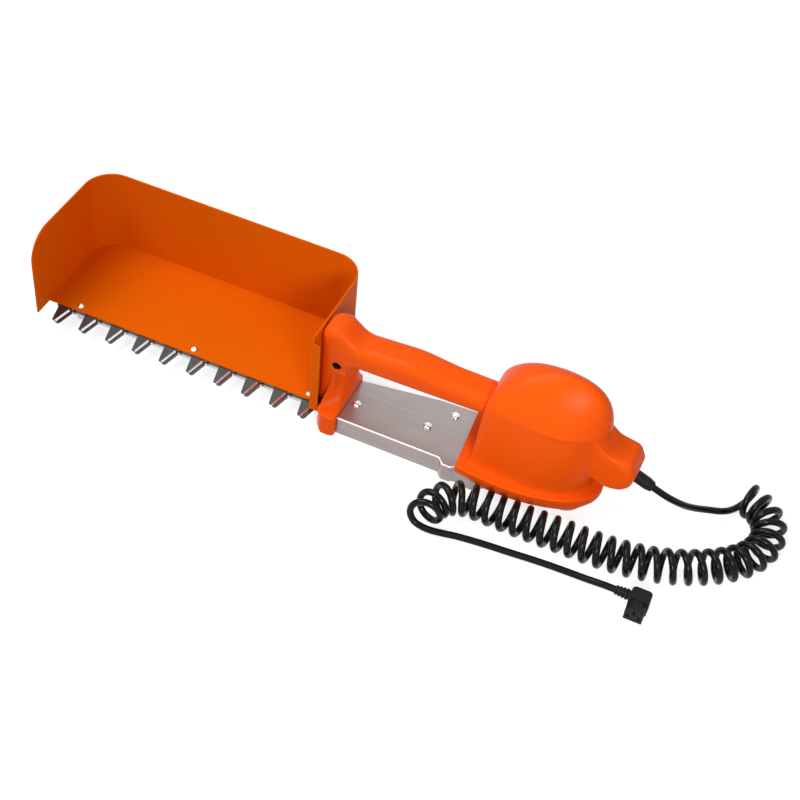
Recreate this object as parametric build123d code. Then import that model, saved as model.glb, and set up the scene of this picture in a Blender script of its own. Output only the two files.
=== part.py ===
from build123d import *
import math
import os

# Hand-held cutter head of a tea harvester, standing on the underside of its chassis.
# +X runs from the leaf scoop to the motor, -Y faces the crop and +Z is up.
# The origin is on the floor, under the middle of the head without its lead.
# All sizes are in millimetres.

# Scoop of bent sheet
sheet = 1.6
scoop_left = -304.0
scoop_right = -8.0
scoop_back = 67.5
scoop_corner = 30.0
floor_front = -41.0
floor_top = 18.0
floor_bottom = floor_top - sheet
wall_top = 109.5
left_wall_front = -61.5
left_wall_round = 30.0
right_wall_front = -50.5
lip_right = -1.5
lip_top = 102.5
lip_round = 4.0

# Cutter blades
tooth_count = 10
tooth_pitch = 30.0
first_tip_x = -286.5
tip_y = -62.0
gullet_y = -40.4
tip_width = 4.7
root_lean = -4.5
root_width = 14.0
gullet_cut = 2.0
bevel_width = 1.6
bevel_depth = 1.4
lower_tooth_lead = 3.3
blade_thick = 2.0
slide_gap = 0.1
blade_left = -294.5
blade_back = -26.0
tail_start = -5.0
tail_back = -32.0
upper_z = floor_bottom - slide_gap - blade_thick
lower_z = upper_z - slide_gap - blade_thick

# Retaining bar, its guides in the blades' slots and what clamps it
bar_top = lower_z - slide_gap
bar_thick = 4.0
bar_bottom = bar_top - bar_thick
bar_front = -39.8
bar_right = 45.0
bar_wide_back = -21.0
blade_screw_xs = (-270.0, -142.6, -16.9)
blade_screw_y = -34.8
blade_screw_r = 2.0
guide_width = 6.4
slot_width = guide_width + 2 * slide_gap
slot_length = 19.0
clamp_screw = (29.5, -27.1)

# Small fasteners and their holes
small_sides = 8
screw_r = 2.0
screw_hole_r = 2.1
pilot_r = 2.05
pillar_flats = 8.0

# Chassis tray and its cover
tray_left = 2.0
tray_front = -52.2
tray_height = 20.0
tray_wall = 2.0
plate_bottom = tray_height - tray_wall
cover_thick = 2.0
cover_gap = 0.3
cover_sink = 1.2
cover_pillar_places = ((100.7, -21.0), (119.1, 3.5), (252.0, -21.5))

# Crank drive, on the handle's middle plane
middle_y = -21.5
crank_x = 186.5
crank_throw = 5.0
shaft_r = 4.0
collar_r = 5.5
fit_gap = 0.03
eccentric_r = 12.0
yoke_half_width = 13.5
yoke_half_length = 17.6
yoke_left = 167.0
yoke_right = 206.0
yoke_front = -44.5
yoke_back = 1.5
bearing_r = 11.0
bearing_width = 7.0
bearing_z = 21.0
carrier_r = 14.5
bushing_r = 7.0
bushing_wall = 3.0
bushing_top = 8.0

# Gear pair
gear_module = 1.0
gear_teeth = 48
pinion_teeth = 12
pressure_angle = 25.0
tooth_thinning = 0.16
gear_z = 30.0
gear_width = 8.0
hub_r = 7.5
hub_top = gear_z + gear_width + 2
motor_x = crank_x + gear_module * (gear_teeth + pinion_teeth) / 2 + 0.1

# Motor and its mounting
motor_plate_z = 42.0
motor_plate_thick = 3.0
motor_z = motor_plate_z + motor_plate_thick
motor_r = 21.0
can_length = 58.0
end_bell_r = 14.0
end_bell_height = 5.0
motor_shaft_r = 2.5
shaft_depth = 12.0
motor_pillar_places = ((206.0, -48.5), (206.0, 5.5), (243.0, -38.0), (243.0, -5.0))
motor_screw_circle = 12.5

# Housing moulding
shell = 2.5
flange_top = 28.0
flange_slope = 2.0
flange_corner = 4.0
dome_base_z = tray_height
crease_z = 101.5
dome_top = 148.0
dome_peak_x = 220.5
vault_lifts = (0, 0.3, 0.58, 0.8, 0.94, 0.99)
vault_left_power = 1.45
vault_nose_power = 2.57
vault_side_power = 1.7
cavity_sides = 20
pocket_gap = 1.5
post_r = 4.5
post_top = 36.0
housing_screw_places = ((162.0, -49.0), (162.0, 6.0), (250.0, -31.0), (250.0, -12.0))
boss_front = -39.0
boss_back = -4.0
boss_bevel = 2.0

# Handle moulding
grip_width = 34.0
grip_front = middle_y - grip_width / 2
grip_back = middle_y + grip_width / 2
grip_round = 10.0
column_right = 20.5
foot_left = -1.0
foot_front = -59.5
foot_back = 9.0
foot_top = 24.0
handle_screw_places = ((11.0, -15.0), (11.0, -5.0))
wall_screw_heights = (46.0, 86.0)
wall_screw_length = 14.0
handle_hole = (10.5, 72.0)
handle_hole_r = 4.2
handle_hole_depth = 24.0
spigot_tip = 168.0
spigot_half = 8.0
spigot_z = 88.5

# Lead
wire_r = 3.3
wire_sides = 8
wire_z = wire_r + 0.05
coil_r = 13.45
loose_curls = 29
close_curls = 2
close_start = 190.0
close_end = 358.0
sleeve_start = Vector(292.0, middle_y, 63.0)
sleeve_axis = Vector(15, 0, -6).normalized()
sleeve_length = 29.0
sleeve_straight = 23.0
cord_sleeve_r = 6.0
cord_sleeve_tip_r = 4.8

# Plug
plug_left = 336.0
plug_right = 354.5
plug_back = -106.5
plug_step = -120.5
plug_front = -131.2
plug_height = 18.0
plug_inset = 0.8
plug_shoulder_z = 12.5
plug_shoulder = 4.5
socket_depth = 16.0
relief_length = 14.0
relief_y = -111.5
relief_z = 9.0


def rounded(corners):
    """Flat outline through (x, y, radius) corners."""
    face = make_face(Polyline([(x, y) for x, y, radius in corners], close=True))
    for x, y, radius in corners:
        if radius:
            face = fillet(face.vertices().sort_by_distance((x, y))[0], radius)
    return face


def prism(face, low, high):
    return extrude(Pos(0, 0, low) * face, amount=high - low, dir=(0, 0, 1))


def side_prism(face, front, back):
    """Extrude an outline drawn in x and z from one y to another."""
    start = Plane(origin=(0, front, 0), x_dir=(1, 0, 0), z_dir=(0, -1, 0))
    return extrude(start * face, amount=back - front, dir=(0, 1, 0))


def end_prism(face, left, right):
    """Extrude an outline drawn in y and z from one x to another."""
    start = Plane(origin=(left, 0, 0), x_dir=(0, 1, 0), z_dir=(1, 0, 0))
    return extrude(start * face, amount=right - left, dir=(1, 0, 0))


def disc(x, y, low, high, radius):
    return Pos(x, y, (low + high) / 2) * Cylinder(radius, high - low)


def ring(x, y, low, high, outer, inner):
    return disc(x, y, low, high, outer) - disc(x, y, low, high, inner)


def block(low, high):
    size = [b - a for a, b in zip(low, high)]
    middle = [(a + b) / 2 for a, b in zip(low, high)]
    return Pos(*middle) * Box(*size)


def small_round(x, y, low, high, radius):
    """Small pin or hole with a few flats, as wide across them as the round one."""
    return prism(Pos(x, y) * RegularPolygon(radius, small_sides, major_radius=False), low, high)


def hexagon(x, y, low, high, flats, bore):
    """Nut or pillar."""
    nut = prism(Pos(x, y) * RegularPolygon(flats / 2, 6, major_radius=False), low, high)
    return nut - small_round(x, y, low, high, bore)


def pan_screw(length, shank_r=screw_r, head_r=3.5, head_height=2.4):
    """Pan head screw: seat at z = 0, head above it and shank below."""
    head = extrude(RegularPolygon(head_r, small_sides, major_radius=False), amount=head_height, taper=20)
    return head + small_round(0, 0, -length, 0, shank_r)


def group(solids):
    return Part() + list(solids)


def scoop_outline(inset):
    """Plan of the scoop, open past its front edge, moved inwards by inset."""
    front = left_wall_front - inset
    corner = scoop_corner - inset
    return rounded([
        (scoop_left + inset, front, 0),
        (scoop_right - inset, front, 0),
        (scoop_right - inset, scoop_back - inset, corner),
        (scoop_left + inset, scoop_back - inset, corner),
    ])


def at_wall_screw(height):
    """Place on the inner face of the scoop's right wall, with +Z into the scoop."""
    return Pos(scoop_right - sheet, middle_y, height) * Rot(0, -90, 0)


def make_scoop_wall():
    strip = prism(scoop_outline(0), floor_bottom, wall_top)
    strip -= prism(scoop_outline(sheet), floor_bottom, wall_top)
    beyond = left_wall_front - 1
    strip -= block((scoop_right - 2 * sheet, beyond, 0), (0, right_wall_front, wall_top + 1))
    nook = Pos(left_wall_front + left_wall_round / 2, wall_top - left_wall_round / 2)
    corner = nook * Rectangle(left_wall_round, left_wall_round)
    corner -= Pos(left_wall_front + left_wall_round, wall_top - left_wall_round) * Circle(left_wall_round)
    strip -= end_prism(corner, scoop_left, scoop_left + 2 * sheet)
    lip = rounded([
        (scoop_right - sheet, floor_bottom, 0),
        (lip_right, floor_bottom, 0),
        (lip_right, lip_top, lip_round),
        (scoop_right - sheet, lip_top, 0),
    ])
    strip += side_prism(lip, right_wall_front, right_wall_front + sheet)
    for height in wall_screw_heights:
        strip -= at_wall_screw(height) * small_round(0, 0, -2 * sheet, sheet, screw_hole_r)
    return strip


def make_scoop_floor():
    floor = prism(scoop_outline(sheet), floor_bottom, floor_top)
    floor -= block((scoop_left, left_wall_front - 2 * sheet, 0), (0, floor_front, floor_top + 1))
    for x in blade_screw_xs:
        floor -= small_round(x, blade_screw_y, 0, floor_top + 1, blade_screw_r + 0.1)
    return floor


def blade_outline(lead):
    """Toothed bar with a tail into the chassis and a yoke round its eccentric."""
    points = [(blade_left, blade_back), (blade_left, gullet_y)]
    slant = (root_lean + root_width - tip_width) / (gullet_y - tip_y)
    for i in range(tooth_count):
        x = first_tip_x + lead + i * tooth_pitch
        left_root = x + root_lean
        right_root = left_root + root_width
        points += [
            (left_root - gullet_cut, gullet_y),
            (left_root, gullet_y - gullet_cut),
            (x, tip_y),
            (x + tip_width, tip_y),
            (right_root - slant * gullet_cut, gullet_y - gullet_cut),
            (right_root + gullet_cut, gullet_y),
        ]
    points += [
        (yoke_left, gullet_y),
        (yoke_left, yoke_front),
        (yoke_right, yoke_front),
        (yoke_right, yoke_back),
        (yoke_left, yoke_back),
        (yoke_left, tail_back),
        (tail_start, tail_back),
        (tail_start, blade_back),
    ]
    face = make_face(Polyline(points, close=True))
    face -= Pos(crank_x, middle_y) * Rectangle(2 * yoke_half_width, 2 * yoke_half_length)
    for x in blade_screw_xs:
        face -= Pos(x, blade_screw_y) * Rectangle(slot_length, slot_width)
    return face


def make_blade(low, lead, bevel_up):
    """Blade whose right flanks are ground to a bevel, facing away from the other blade."""
    blade = prism(blade_outline(lead), low, low + blade_thick)
    edge_z = low + blade_thick if bevel_up else low
    depth = -bevel_depth if bevel_up else bevel_depth
    for i in range(tooth_count):
        x = first_tip_x + lead + i * tooth_pitch
        tip = Vector(x + tip_width, tip_y, edge_z)
        root = Vector(x + root_lean + root_width, gullet_y, edge_z)
        along = (root - tip).normalized()
        inward = Vector(-along.Y, along.X, 0)
        start = Plane(origin=tip - along, x_dir=inward, z_dir=along)
        reach = (root - tip).length - gullet_cut
        wedge = make_face(Polyline((0, 0), (bevel_width, 0), (0, depth), close=True))
        blade -= extrude(start * wedge, amount=reach, dir=along)
    return blade


def make_retaining_bar():
    """Bar under the blades, with a square guide standing in each pair of slots."""
    plan = rounded([
        (blade_left, bar_front, 0),
        (bar_right, bar_front, 0),
        (bar_right, bar_wide_back, 0),
        (tail_start + 10, bar_wide_back, 0),
        (tail_start, blade_back, 0),
        (blade_left, blade_back, 0),
    ])
    bar = prism(plan, bar_bottom, bar_top)
    for x in blade_screw_xs:
        guide = Pos(x, blade_screw_y) * Rectangle(guide_width, guide_width)
        bar += prism(guide, bar_top, floor_bottom)
        bar -= small_round(x, blade_screw_y, bar_bottom, floor_bottom, blade_screw_r + 0.1)
    return bar - small_round(*clamp_screw, bar_bottom, bar_top, screw_hole_r)


tray_corners = [
    (tray_left, tray_front, 0),
    (125.5, tray_front, 5),
    (131.0, -58.7, 5),
    (139.0, -58.7, 3),
    (143.5, -55.8, 3),
    (161.5, -58.6, 6),
    (173.0, -54.7, 6),
    (205.0, -54.7, 20),
    (262.0, -42.0, 24),
    (262.0, -1.0, 24),
    (205.0, 11.7, 25),
    (150.0, 20.0, 18),
    (100.0, 17.0, 30),
    (tray_left, 1.7, 0),
]


def make_chassis_plate():
    plan = rounded(tray_corners)
    tray = prism(plan, 0, tray_height)
    tray -= prism(offset(plan, -tray_wall), 0, plate_bottom)
    tray -= block((0, tray_front + tray_wall, 0), (tray_left + 3, 0, plate_bottom))
    for x, y in [clamp_screw, *cover_pillar_places, *housing_screw_places, *handle_screw_places]:
        tray -= small_round(x, y, 0, tray_height, screw_hole_r)
    return tray - disc(crank_x, middle_y, 0, tray_height, collar_r + 1)


def make_bottom_cover():
    inside = offset(rounded(tray_corners), -tray_wall - cover_gap)
    cover = prism(inside, 0, cover_thick)
    cover += disc(crank_x, middle_y, 0, bushing_top, bushing_r + bushing_wall)
    cover -= disc(crank_x, middle_y, cover_thick, bushing_top, bushing_r)
    for x, y in cover_pillar_places:
        cover -= small_round(x, y, 0, cover_thick, screw_hole_r)
        cover -= small_round(x, y, 0, cover_sink, 3.7)
    return cover


def make_bearing_carrier():
    """Cup on the chassis plate that the crankshaft's bearing is pressed into."""
    top = bearing_z + bearing_width
    cup = disc(crank_x, middle_y, tray_height, top, carrier_r)
    cup -= disc(crank_x, middle_y, bearing_z, top, bearing_r)
    return cup - disc(crank_x, middle_y, tray_height, bearing_z, collar_r + 1)


def make_crankshaft():
    """Shaft with a collar and two opposed eccentrics, which stand to +Y and to -Y at rest."""
    shaft = disc(crank_x, middle_y, cover_thick + 0.3, hub_top + 5, shaft_r)
    shaft += disc(crank_x, middle_y, bushing_top + 0.1, bearing_z, collar_r)
    for low, side in ((upper_z, 1), (lower_z, -1)):
        shaft += disc(crank_x, middle_y + side * crank_throw, low, low + blade_thick, eccentric_r)
    return shaft


def gear_outline(teeth, turn):
    """Spur gear outline about the origin, with one tooth at the angle turn."""
    pitch_r = gear_module * teeth / 2
    base_r = pitch_r * math.cos(math.radians(pressure_angle))
    tip_r = pitch_r + gear_module
    root_r = pitch_r - 1.25 * gear_module
    involute = lambda angle: math.tan(angle) - angle
    half_tooth = math.pi / (2 * teeth) - tooth_thinning / (2 * pitch_r)
    half_base = half_tooth + involute(math.radians(pressure_angle))
    half_at = lambda r: half_base - involute(math.acos(min(1.0, base_r / r)))
    points = []
    for i in range(teeth):
        middle = math.radians(turn) + 2 * math.pi * i / teeth
        for r, side in ((root_r, -1), (tip_r, -1), (tip_r, 1), (root_r, 1)):
            angle = middle + side * half_at(r)
            points.append((r * math.cos(angle), r * math.sin(angle)))
    return make_face(Polyline(points, close=True))


def make_drive_gear():
    gear = prism(Pos(crank_x, middle_y) * gear_outline(gear_teeth, 0), gear_z, gear_z + gear_width)
    hub_low = bearing_z + bearing_width + 0.2
    gear += disc(crank_x, middle_y, hub_low, hub_top, hub_r)
    return gear - disc(crank_x, middle_y, hub_low, hub_top, shaft_r + fit_gap)


def make_pinion():
    """Pinion on the motor shaft, turned by half a tooth to mesh."""
    outline = Pos(motor_x, middle_y) * gear_outline(pinion_teeth, 180 / pinion_teeth)
    pinion = prism(outline, gear_z - 1, gear_z + gear_width + 1)
    return pinion - disc(motor_x, middle_y, gear_z - 1, gear_z + gear_width + 1, motor_shaft_r + 0.02)


def motor_screw_places():
    return [(motor_x, middle_y + side * motor_screw_circle) for side in (-1, 1)]


def make_motor_plate():
    plan = rounded([
        (199.0, -54.0, 0),
        (213.0, -54.0, 0),
        (250.0, -43.0, 0),
        (250.0, 0.0, 0),
        (213.0, 11.0, 0),
        (199.0, 11.0, 0),
    ])
    plate = prism(plan, motor_plate_z, motor_z) - disc(motor_x, middle_y, motor_plate_z, motor_z, 6.0)
    for x, y in motor_pillar_places:
        plate -= small_round(x, y, motor_plate_z, motor_z, screw_hole_r)
    for x, y in motor_screw_places():
        plate -= small_round(x, y, motor_plate_z, motor_z, 1.6)
    return plate


def make_motor_can():
    """Closed motor, with a bore for its shaft and two tapped holes below."""
    top = motor_z + can_length
    can = disc(motor_x, middle_y, motor_z, top, motor_r)
    can += disc(motor_x, middle_y, top, top + end_bell_height, end_bell_r)
    for x, y in motor_screw_places():
        can -= small_round(x, y, motor_z, motor_z + 2, 1.55)
    return can - disc(motor_x, middle_y, motor_z, motor_z + shaft_depth + 0.5, motor_shaft_r + fit_gap)


def bullet(left, nose, widest, half, left_half, corner):
    """Plan of the housing: flat to the left, round to the right, alike about the middle plane."""
    front = (widest, middle_y - half)
    back = (widest, middle_y + half)
    front_left = (left, middle_y - left_half)
    back_left = (left, middle_y + left_half)
    edges = EllipticalCenterArc((widest, middle_y), nose - widest, half, start_angle=-90, arc_size=180)
    edges += TangentArc(back, back_left, tangent=(-1, 0))
    edges += Line(back_left, front_left)
    edges += TangentArc(front, front_left, tangent=(-1, 0))
    face = make_face(edges)
    for place in (front_left, back_left):
        face = fillet(face.vertices().sort_by_distance(place)[0], corner)
    return face


def dome_section(z, inset):
    """Plan of the dome at a height: a drafted wall up to the crease and a vault above it."""
    rise = (min(z, crease_z) - dome_base_z) / (crease_z - dome_base_z)
    left = 153.5 + 6.0 * rise
    nose = 265.5 + 6.0 * rise
    widest = 209.0 + 4.0 * rise
    half = 42.0 - 9.5 * rise
    left_half = 30.0 - 5.0 * rise
    lift = max(z - crease_z, 0) / (dome_top - crease_z)
    shrink = lambda power: (1 - lift ** power) ** (1 / power)
    place = lambda x, power: dome_peak_x + shrink(power) * (x - dome_peak_x)
    aside = shrink(vault_side_power)
    return Pos(0, 0, z) * bullet(
        place(left, vault_left_power) + inset,
        place(nose, vault_nose_power) - inset,
        place(widest, vault_left_power),
        aside * half - inset,
        aside * left_half * (1 - 0.15 * lift) - inset,
        7.0 * shrink(vault_left_power),
    )


def make_dome():
    wall = loft([dome_section(dome_base_z, 0), dome_section(crease_z, 0)], ruled=True)
    heights = [crease_z + (dome_top - crease_z) * lift for lift in vault_lifts]
    return wall + loft([dome_section(z, 0) for z in heights], ruled=True)


def make_cavity():
    """Room inside the dome's wall, with flat sides, and a pocket for the top of the motor."""
    ends = []
    for z in (dome_base_z, crease_z):
        rim = dome_section(z, shell).face().outer_wire()
        ends.append(make_face(Polyline([rim @ (i / cavity_sides) for i in range(cavity_sides)], close=True)))
    pocket_top = motor_z + can_length + end_bell_height + pocket_gap
    pocket = disc(motor_x, middle_y, crease_z - 1, pocket_top, motor_r + pocket_gap)
    return loft(ends, ruled=True) + pocket


def flange_outline(inset):
    """Base flange under the dome, with a slanted left edge, bowed sides and a blunt nose."""
    front_left = (144.5 + inset, -61.0 + inset)
    front = (217.0, -67.5 + inset)
    front_right = (271.5 - inset, -42.0 + inset)
    nose = (275.0 - inset, middle_y)
    back_right = (271.5 - inset, -1.0 - inset)
    back = (217.0, 24.5 - inset)
    back_left = (137.5 + inset, 17.5 - inset)
    edges = TangentArc(front, front_right, tangent=(1, 0))
    edges += ThreePointArc(front_right, nose, back_right)
    edges += TangentArc(back, back_right, tangent=(1, 0))
    edges += TangentArc(back, back_left, tangent=(-1, 0))
    edges += Line(back_left, front_left)
    edges += TangentArc(front, front_left, tangent=(-1, 0))
    face = make_face(edges)
    for place in (front_left, back_left, front_right, back_right):
        face = fillet(face.vertices().sort_by_distance(place)[0], flange_corner)
    return face


def make_flange():
    """Flange with a sloping rim."""
    rim_z = flange_top - flange_slope
    rim = loft([Pos(0, 0, rim_z) * flange_outline(0), Pos(0, 0, flange_top) * flange_outline(flange_slope)],
               ruled=True)
    return prism(flange_outline(0), tray_height, rim_z) + rim


def make_cord_boss():
    side = rounded([
        (256.0, 104.0, 0),
        (277.0, 87.0, 12),
        (298.0, 83.0, 8),
        (304.0, 69.5, 6),
        (300.0, 48.5, 12),
        (276.0, 48.0, 8),
        (256.0, 57.5, 0),
    ])
    boss = side_prism(side, boss_front, boss_back)
    flats = boss.faces().filter_by(Axis.Y)
    rims = [edge for flat in flats for edge in flat.edges() if edge.center().X > 258]
    return chamfer(rims, boss_bevel)


def along_sleeve(start, length, radius):
    """Cylinder on the cord sleeve's axis, from a distance along it."""
    origin = sleeve_start + sleeve_axis * start
    return extrude(Plane(origin, z_dir=sleeve_axis) * Circle(radius), amount=length)


def make_motor_housing():
    """Flange, dome and cord boss in one moulding, open below, with screw posts inside."""
    dome = make_dome()
    housing = make_flange() + dome + make_cord_boss()
    housing -= make_cavity()
    nose_rib = block((250.0, -32.2, tray_height), (263.0, -29.8, post_top))
    posts = [small_round(x, y, tray_height, post_top, post_r) for x, y in housing_screw_places]
    posts += [nose_rib, Pos(0, 19, 0) * nose_rib]
    housing += group(posts) & dome
    for x, y in housing_screw_places:
        housing -= small_round(x, y, tray_height, post_top - 3, pilot_r)
    housing -= spigot(0.2)
    return housing - along_sleeve(0, sleeve_length, cord_sleeve_r + 0.1)


def spigot(gap):
    """Square end of the grip, let into the housing's left wall."""
    half = spigot_half + gap
    low = (150.0, middle_y - half, spigot_z - half)
    return block(low, (spigot_tip, middle_y + half, spigot_z + half))


def make_grip():
    """Column and grip in one side profile, with all long edges rounded."""
    side = rounded([
        (scoop_right, tray_height, 0),
        (scoop_right, 114.3, 14),
        (12.5, 114.7, 12),
        (30.0, 100.2, 18),
        (84.0, 104.6, 100),
        (120.0, 100.2, 80),
        (165.0, 99.4, 0),
        (165.0, 76.5, 0),
        (column_right, 73.0, 14),
        (column_right, tray_height, 0),
    ])
    grip = side_prism(side, grip_front, grip_back)
    flats = grip.faces().filter_by(Axis.Y)
    rims = [edge for flat in flats for edge in flat.edges()]
    long_rims = [edge for edge in rims if edge.center().X < 164 and edge.center().Z > tray_height + 1]
    return fillet(long_rims, grip_round)


def make_buttress(outer, top, foot_y):
    """Web that flares from the column down to the foot, hollow in its slope."""
    inner = outer + (2 if outer < middle_y else -2)
    hollow = (outer + 0.28 * (foot_y - outer), top - 0.62 * (top - foot_top))
    slope = ThreePointArc((outer, top), hollow, (foot_y, foot_top))
    rest = Polyline((foot_y, foot_top), (inner, foot_top), (inner, top), (outer, top))
    web = end_prism(make_face(slope + rest), foot_left, column_right)
    front_view = make_face(Polyline(
        (foot_left, foot_top), (column_right, foot_top), (column_right, top), (8.5, top), close=True))
    return web & side_prism(front_view, foot_front - 5, foot_back + 5)


def make_handle():
    """Column, foot, buttresses and grip in one moulding, which straddles the tray's left end."""
    plan = rounded([
        (foot_left, -50.0, 2),
        (6.0, foot_front, 4),
        (column_right - 2, foot_front, 4),
        (column_right, -56.0, 3),
        (column_right, foot_back, 4),
        (foot_left, foot_back, 4),
    ])
    foot = prism(plan, 0, foot_top)
    foot -= prism(rounded(tray_corners), 0, tray_height)
    foot -= block((foot_left, -46.0, 0), (tray_left, -19.0, floor_top))
    foot -= block((foot_left, tip_y, lower_z - 0.5), (tray_left, -46.0, upper_z + blade_thick + 0.5))
    handle = make_grip() + foot
    handle += make_buttress(grip_front, 65.0, -57.0)
    handle += make_buttress(grip_back, 54.0, 6.0)
    handle -= make_dome()
    handle += spigot(0) - block((0, -60, 0), (155.0, 20, 130))
    x, z = handle_hole
    hole = Plane(origin=(x, grip_front, z), z_dir=(0, 1, 0))
    handle -= extrude(hole * Circle(handle_hole_r), amount=handle_hole_depth)
    for x, y in handle_screw_places:
        handle -= small_round(x, y, tray_height, 34.0, pilot_r)
    for height in wall_screw_heights:
        handle -= at_wall_screw(height) * small_round(0, 0, -wall_screw_length - 2, 0, pilot_r)
    return handle


def route(name, points):
    """Straight runs joined by tangent arcs as large as the runs allow."""
    runs = [b - a for a, b in zip(points, points[1:])]
    radii = []
    for before, after in zip(runs, runs[1:]):
        half_turn = math.radians(before.get_angle(after)) / 2
        radii.append(0.45 * min(before.length, after.length) / math.tan(half_turn))
    path = FilletPolyline(*points, radius=radii)
    print(name, "bend radii", [round(radius) for radius in radii], "length", round(path.length, 1))
    return path


def tube(name, path):
    section = Plane(path @ 0, z_dir=path % 0) * RegularPolygon(wire_r, wire_sides)
    cord = sweep(section, path=path, clean=False)
    print(name, "volume over section times length", round(cord.volume / (section.area * path.length), 4))
    return cord


# Middle line of the curls, from the housing's end to the plug's end, in plan
coil_route = [
    (395, 40), (406, 36), (416, 30), (423.5, 21), (428, 10), (429, -3), (426, -16), (419.5, -28.5),
    (410, -40), (398, -50.5), (382, -61.5), (361, -72), (336, -80), (311, -84.3), (284, -86),
    (255, -86.3), (225, -86), (198, -86.6), (170, -88.6), (159.7, -93), (151.4, -100.6), (146.2, -110.5),
    (144.5, -121.5), (145.3, -126.5),
]


def biarc(start, start_dir, end, end_dir):
    """Two tangent arcs between two points with given directions."""
    chord = end - start
    a = 2 * (1 - start_dir.dot(end_dir))
    b = 2 * chord.dot(start_dir + end_dir)
    reach = (-b + math.sqrt(b * b + 4 * a * chord.dot(chord))) / (2 * a)
    first = start + start_dir * reach
    last = end - end_dir * reach
    joint = (first + last) * 0.5
    return [TangentArc(start, joint, tangent=start_dir), TangentArc(joint, end, tangent=last - first)]


class Curls:
    """Right-handed helix round the coil route, from a low point to a low point."""

    def __init__(self):
        self.axis = route("coil axis", [Vector(x, y, wire_z + coil_r) for x, y in coil_route])
        self.count = loose_curls + close_curls

    def turns(self, distance):
        """Turns made so far: evenly wound, and closer along the straight middle of the coil."""
        share = (distance - close_start) / (close_end - close_start)
        share = min(max(share, 0), 1)
        return loose_curls * distance / self.axis.length + close_curls * share * share * (3 - 2 * share)

    def distance_at(self, turns):
        low = 0.0
        high = self.axis.length
        while high - low > 1e-6:
            middle = (low + high) / 2
            if self.turns(middle) < turns:
                low = middle
            else:
                high = middle
        return high

    def point(self, distance):
        middle = self.axis.position_at(distance, position_mode=PositionMode.LENGTH)
        ahead = self.axis.tangent_at(distance, position_mode=PositionMode.LENGTH)
        turn = 2 * math.pi * self.turns(distance)
        left = Vector(-ahead.Y, ahead.X, 0)
        return middle + left * (coil_r * math.sin(turn)) - Vector(0, 0, coil_r * math.cos(turn))

    def direction(self, distance):
        low = max(distance - 0.01, 0)
        high = min(distance + 0.01, self.axis.length)
        return (self.point(high) - self.point(low)).normalized()

    def edges(self):
        stops = [self.distance_at(i / 2) for i in range(2 * self.count + 1)]
        places = [(self.point(stop), self.direction(stop)) for stop in stops]
        start, start_dir = places[0]
        end, end_dir = places[-1]
        edges = [Line(start - start_dir * 2 * wire_r, start)]
        for (a, a_dir), (b, b_dir) in zip(places, places[1:]):
            edges += biarc(a, a_dir, b, b_dir)
        return edges + [Line(end, end + end_dir * 2 * wire_r)]


def least_gap(edges):
    """Least free distance between stretches of the tube over half a turn apart."""
    points = []
    travelled = 0.0
    for edge in edges:
        for i in range(6):
            points.append((travelled + edge.length * i / 6, tuple(edge @ (i / 6))))
        travelled += edge.length
    far = math.pi * coil_r
    return min(
        math.dist(p, q) for i, (s, p) in enumerate(points) for t, q in points[i + 1:] if t - s > far
    ) - 2 * wire_r


def make_curly_cord(curls):
    edges = curls.edges()
    path = Wire(edges)
    section = Plane(edges[0] @ 0, z_dir=edges[0] % 0) * RegularPolygon(wire_r, wire_sides)
    cord = sweep(section, path=path, clean=False)
    print("curls", curls.count, "length", round(path.length, 1))
    print("curls least gap", round(least_gap(edges), 2))
    print("curls volume over section times length", round(cord.volume / (section.area * path.length), 4))
    return cord


def make_cord_sleeve():
    """Strain relief pressed into the boss, tapered towards the lead."""
    half = Polyline(
        (0, 0), (cord_sleeve_r, 0), (cord_sleeve_r, sleeve_straight), (cord_sleeve_tip_r, sleeve_length),
        (0, sleeve_length), close=True)
    sleeve = revolve(Plane.XZ * make_face(half), Axis.Z)
    return Plane(sleeve_start, z_dir=sleeve_axis).location * sleeve


def lead_points(curls):
    start = sleeve_start + sleeve_axis * sleeve_length
    end = curls.point(0) - curls.direction(0) * 2 * wire_r
    return [
        start,
        start + sleeve_axis * 15.0,
        Vector(344.0, -16.0, 41.0),
        Vector(352.0, -7.5, 32.0),
        Vector(360.5, 2.0, 21.5),
        Vector(369.0, 11.0, 12.0),
        end - curls.direction(0) * 17.0,
        end,
    ]


def tail_points(curls):
    length = curls.axis.length
    start = curls.point(length) + curls.direction(length) * 2 * wire_r
    end = Vector(plug_left - relief_length, relief_y, relief_z)
    return [
        start,
        start + curls.direction(length) * 14.0,
        Vector(184.0, -117.0, wire_z),
        Vector(210.0, -110.5, wire_z),
        Vector(242.0, -108.4, wire_z),
        Vector(272.0, -108.6, wire_z),
        Vector(294.0, -110.0, 5.6),
        end - Vector(11.0, 0, 0),
        end,
    ]


def make_plug_relief():
    """Ribbed relief between the cord and the plug's side."""
    radii = (4.6, 6.0, 4.8, 6.2, 5.0, 6.4)
    stops = (0, 1.6, 4.0, 5.8, 8.2, 10.0, relief_length)
    ribs = [small_round(0, 0, low, high, r) for r, low, high in zip(radii, stops, stops[1:])]
    return Plane((plug_left - relief_length, relief_y, relief_z), z_dir=(1, 0, 0)).location * group(ribs)


def plug_slots():
    """Three blade sockets in the plug's face: places and sizes in x and z."""
    middle_x = (plug_left + plug_right) / 2
    places = ((middle_x - 5.0, 6.5), (middle_x + 5.0, 6.5), (middle_x, 12.0))
    return [Pos(x, z) * Rectangle(2.2, 5.0) for x, z in places]


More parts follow.
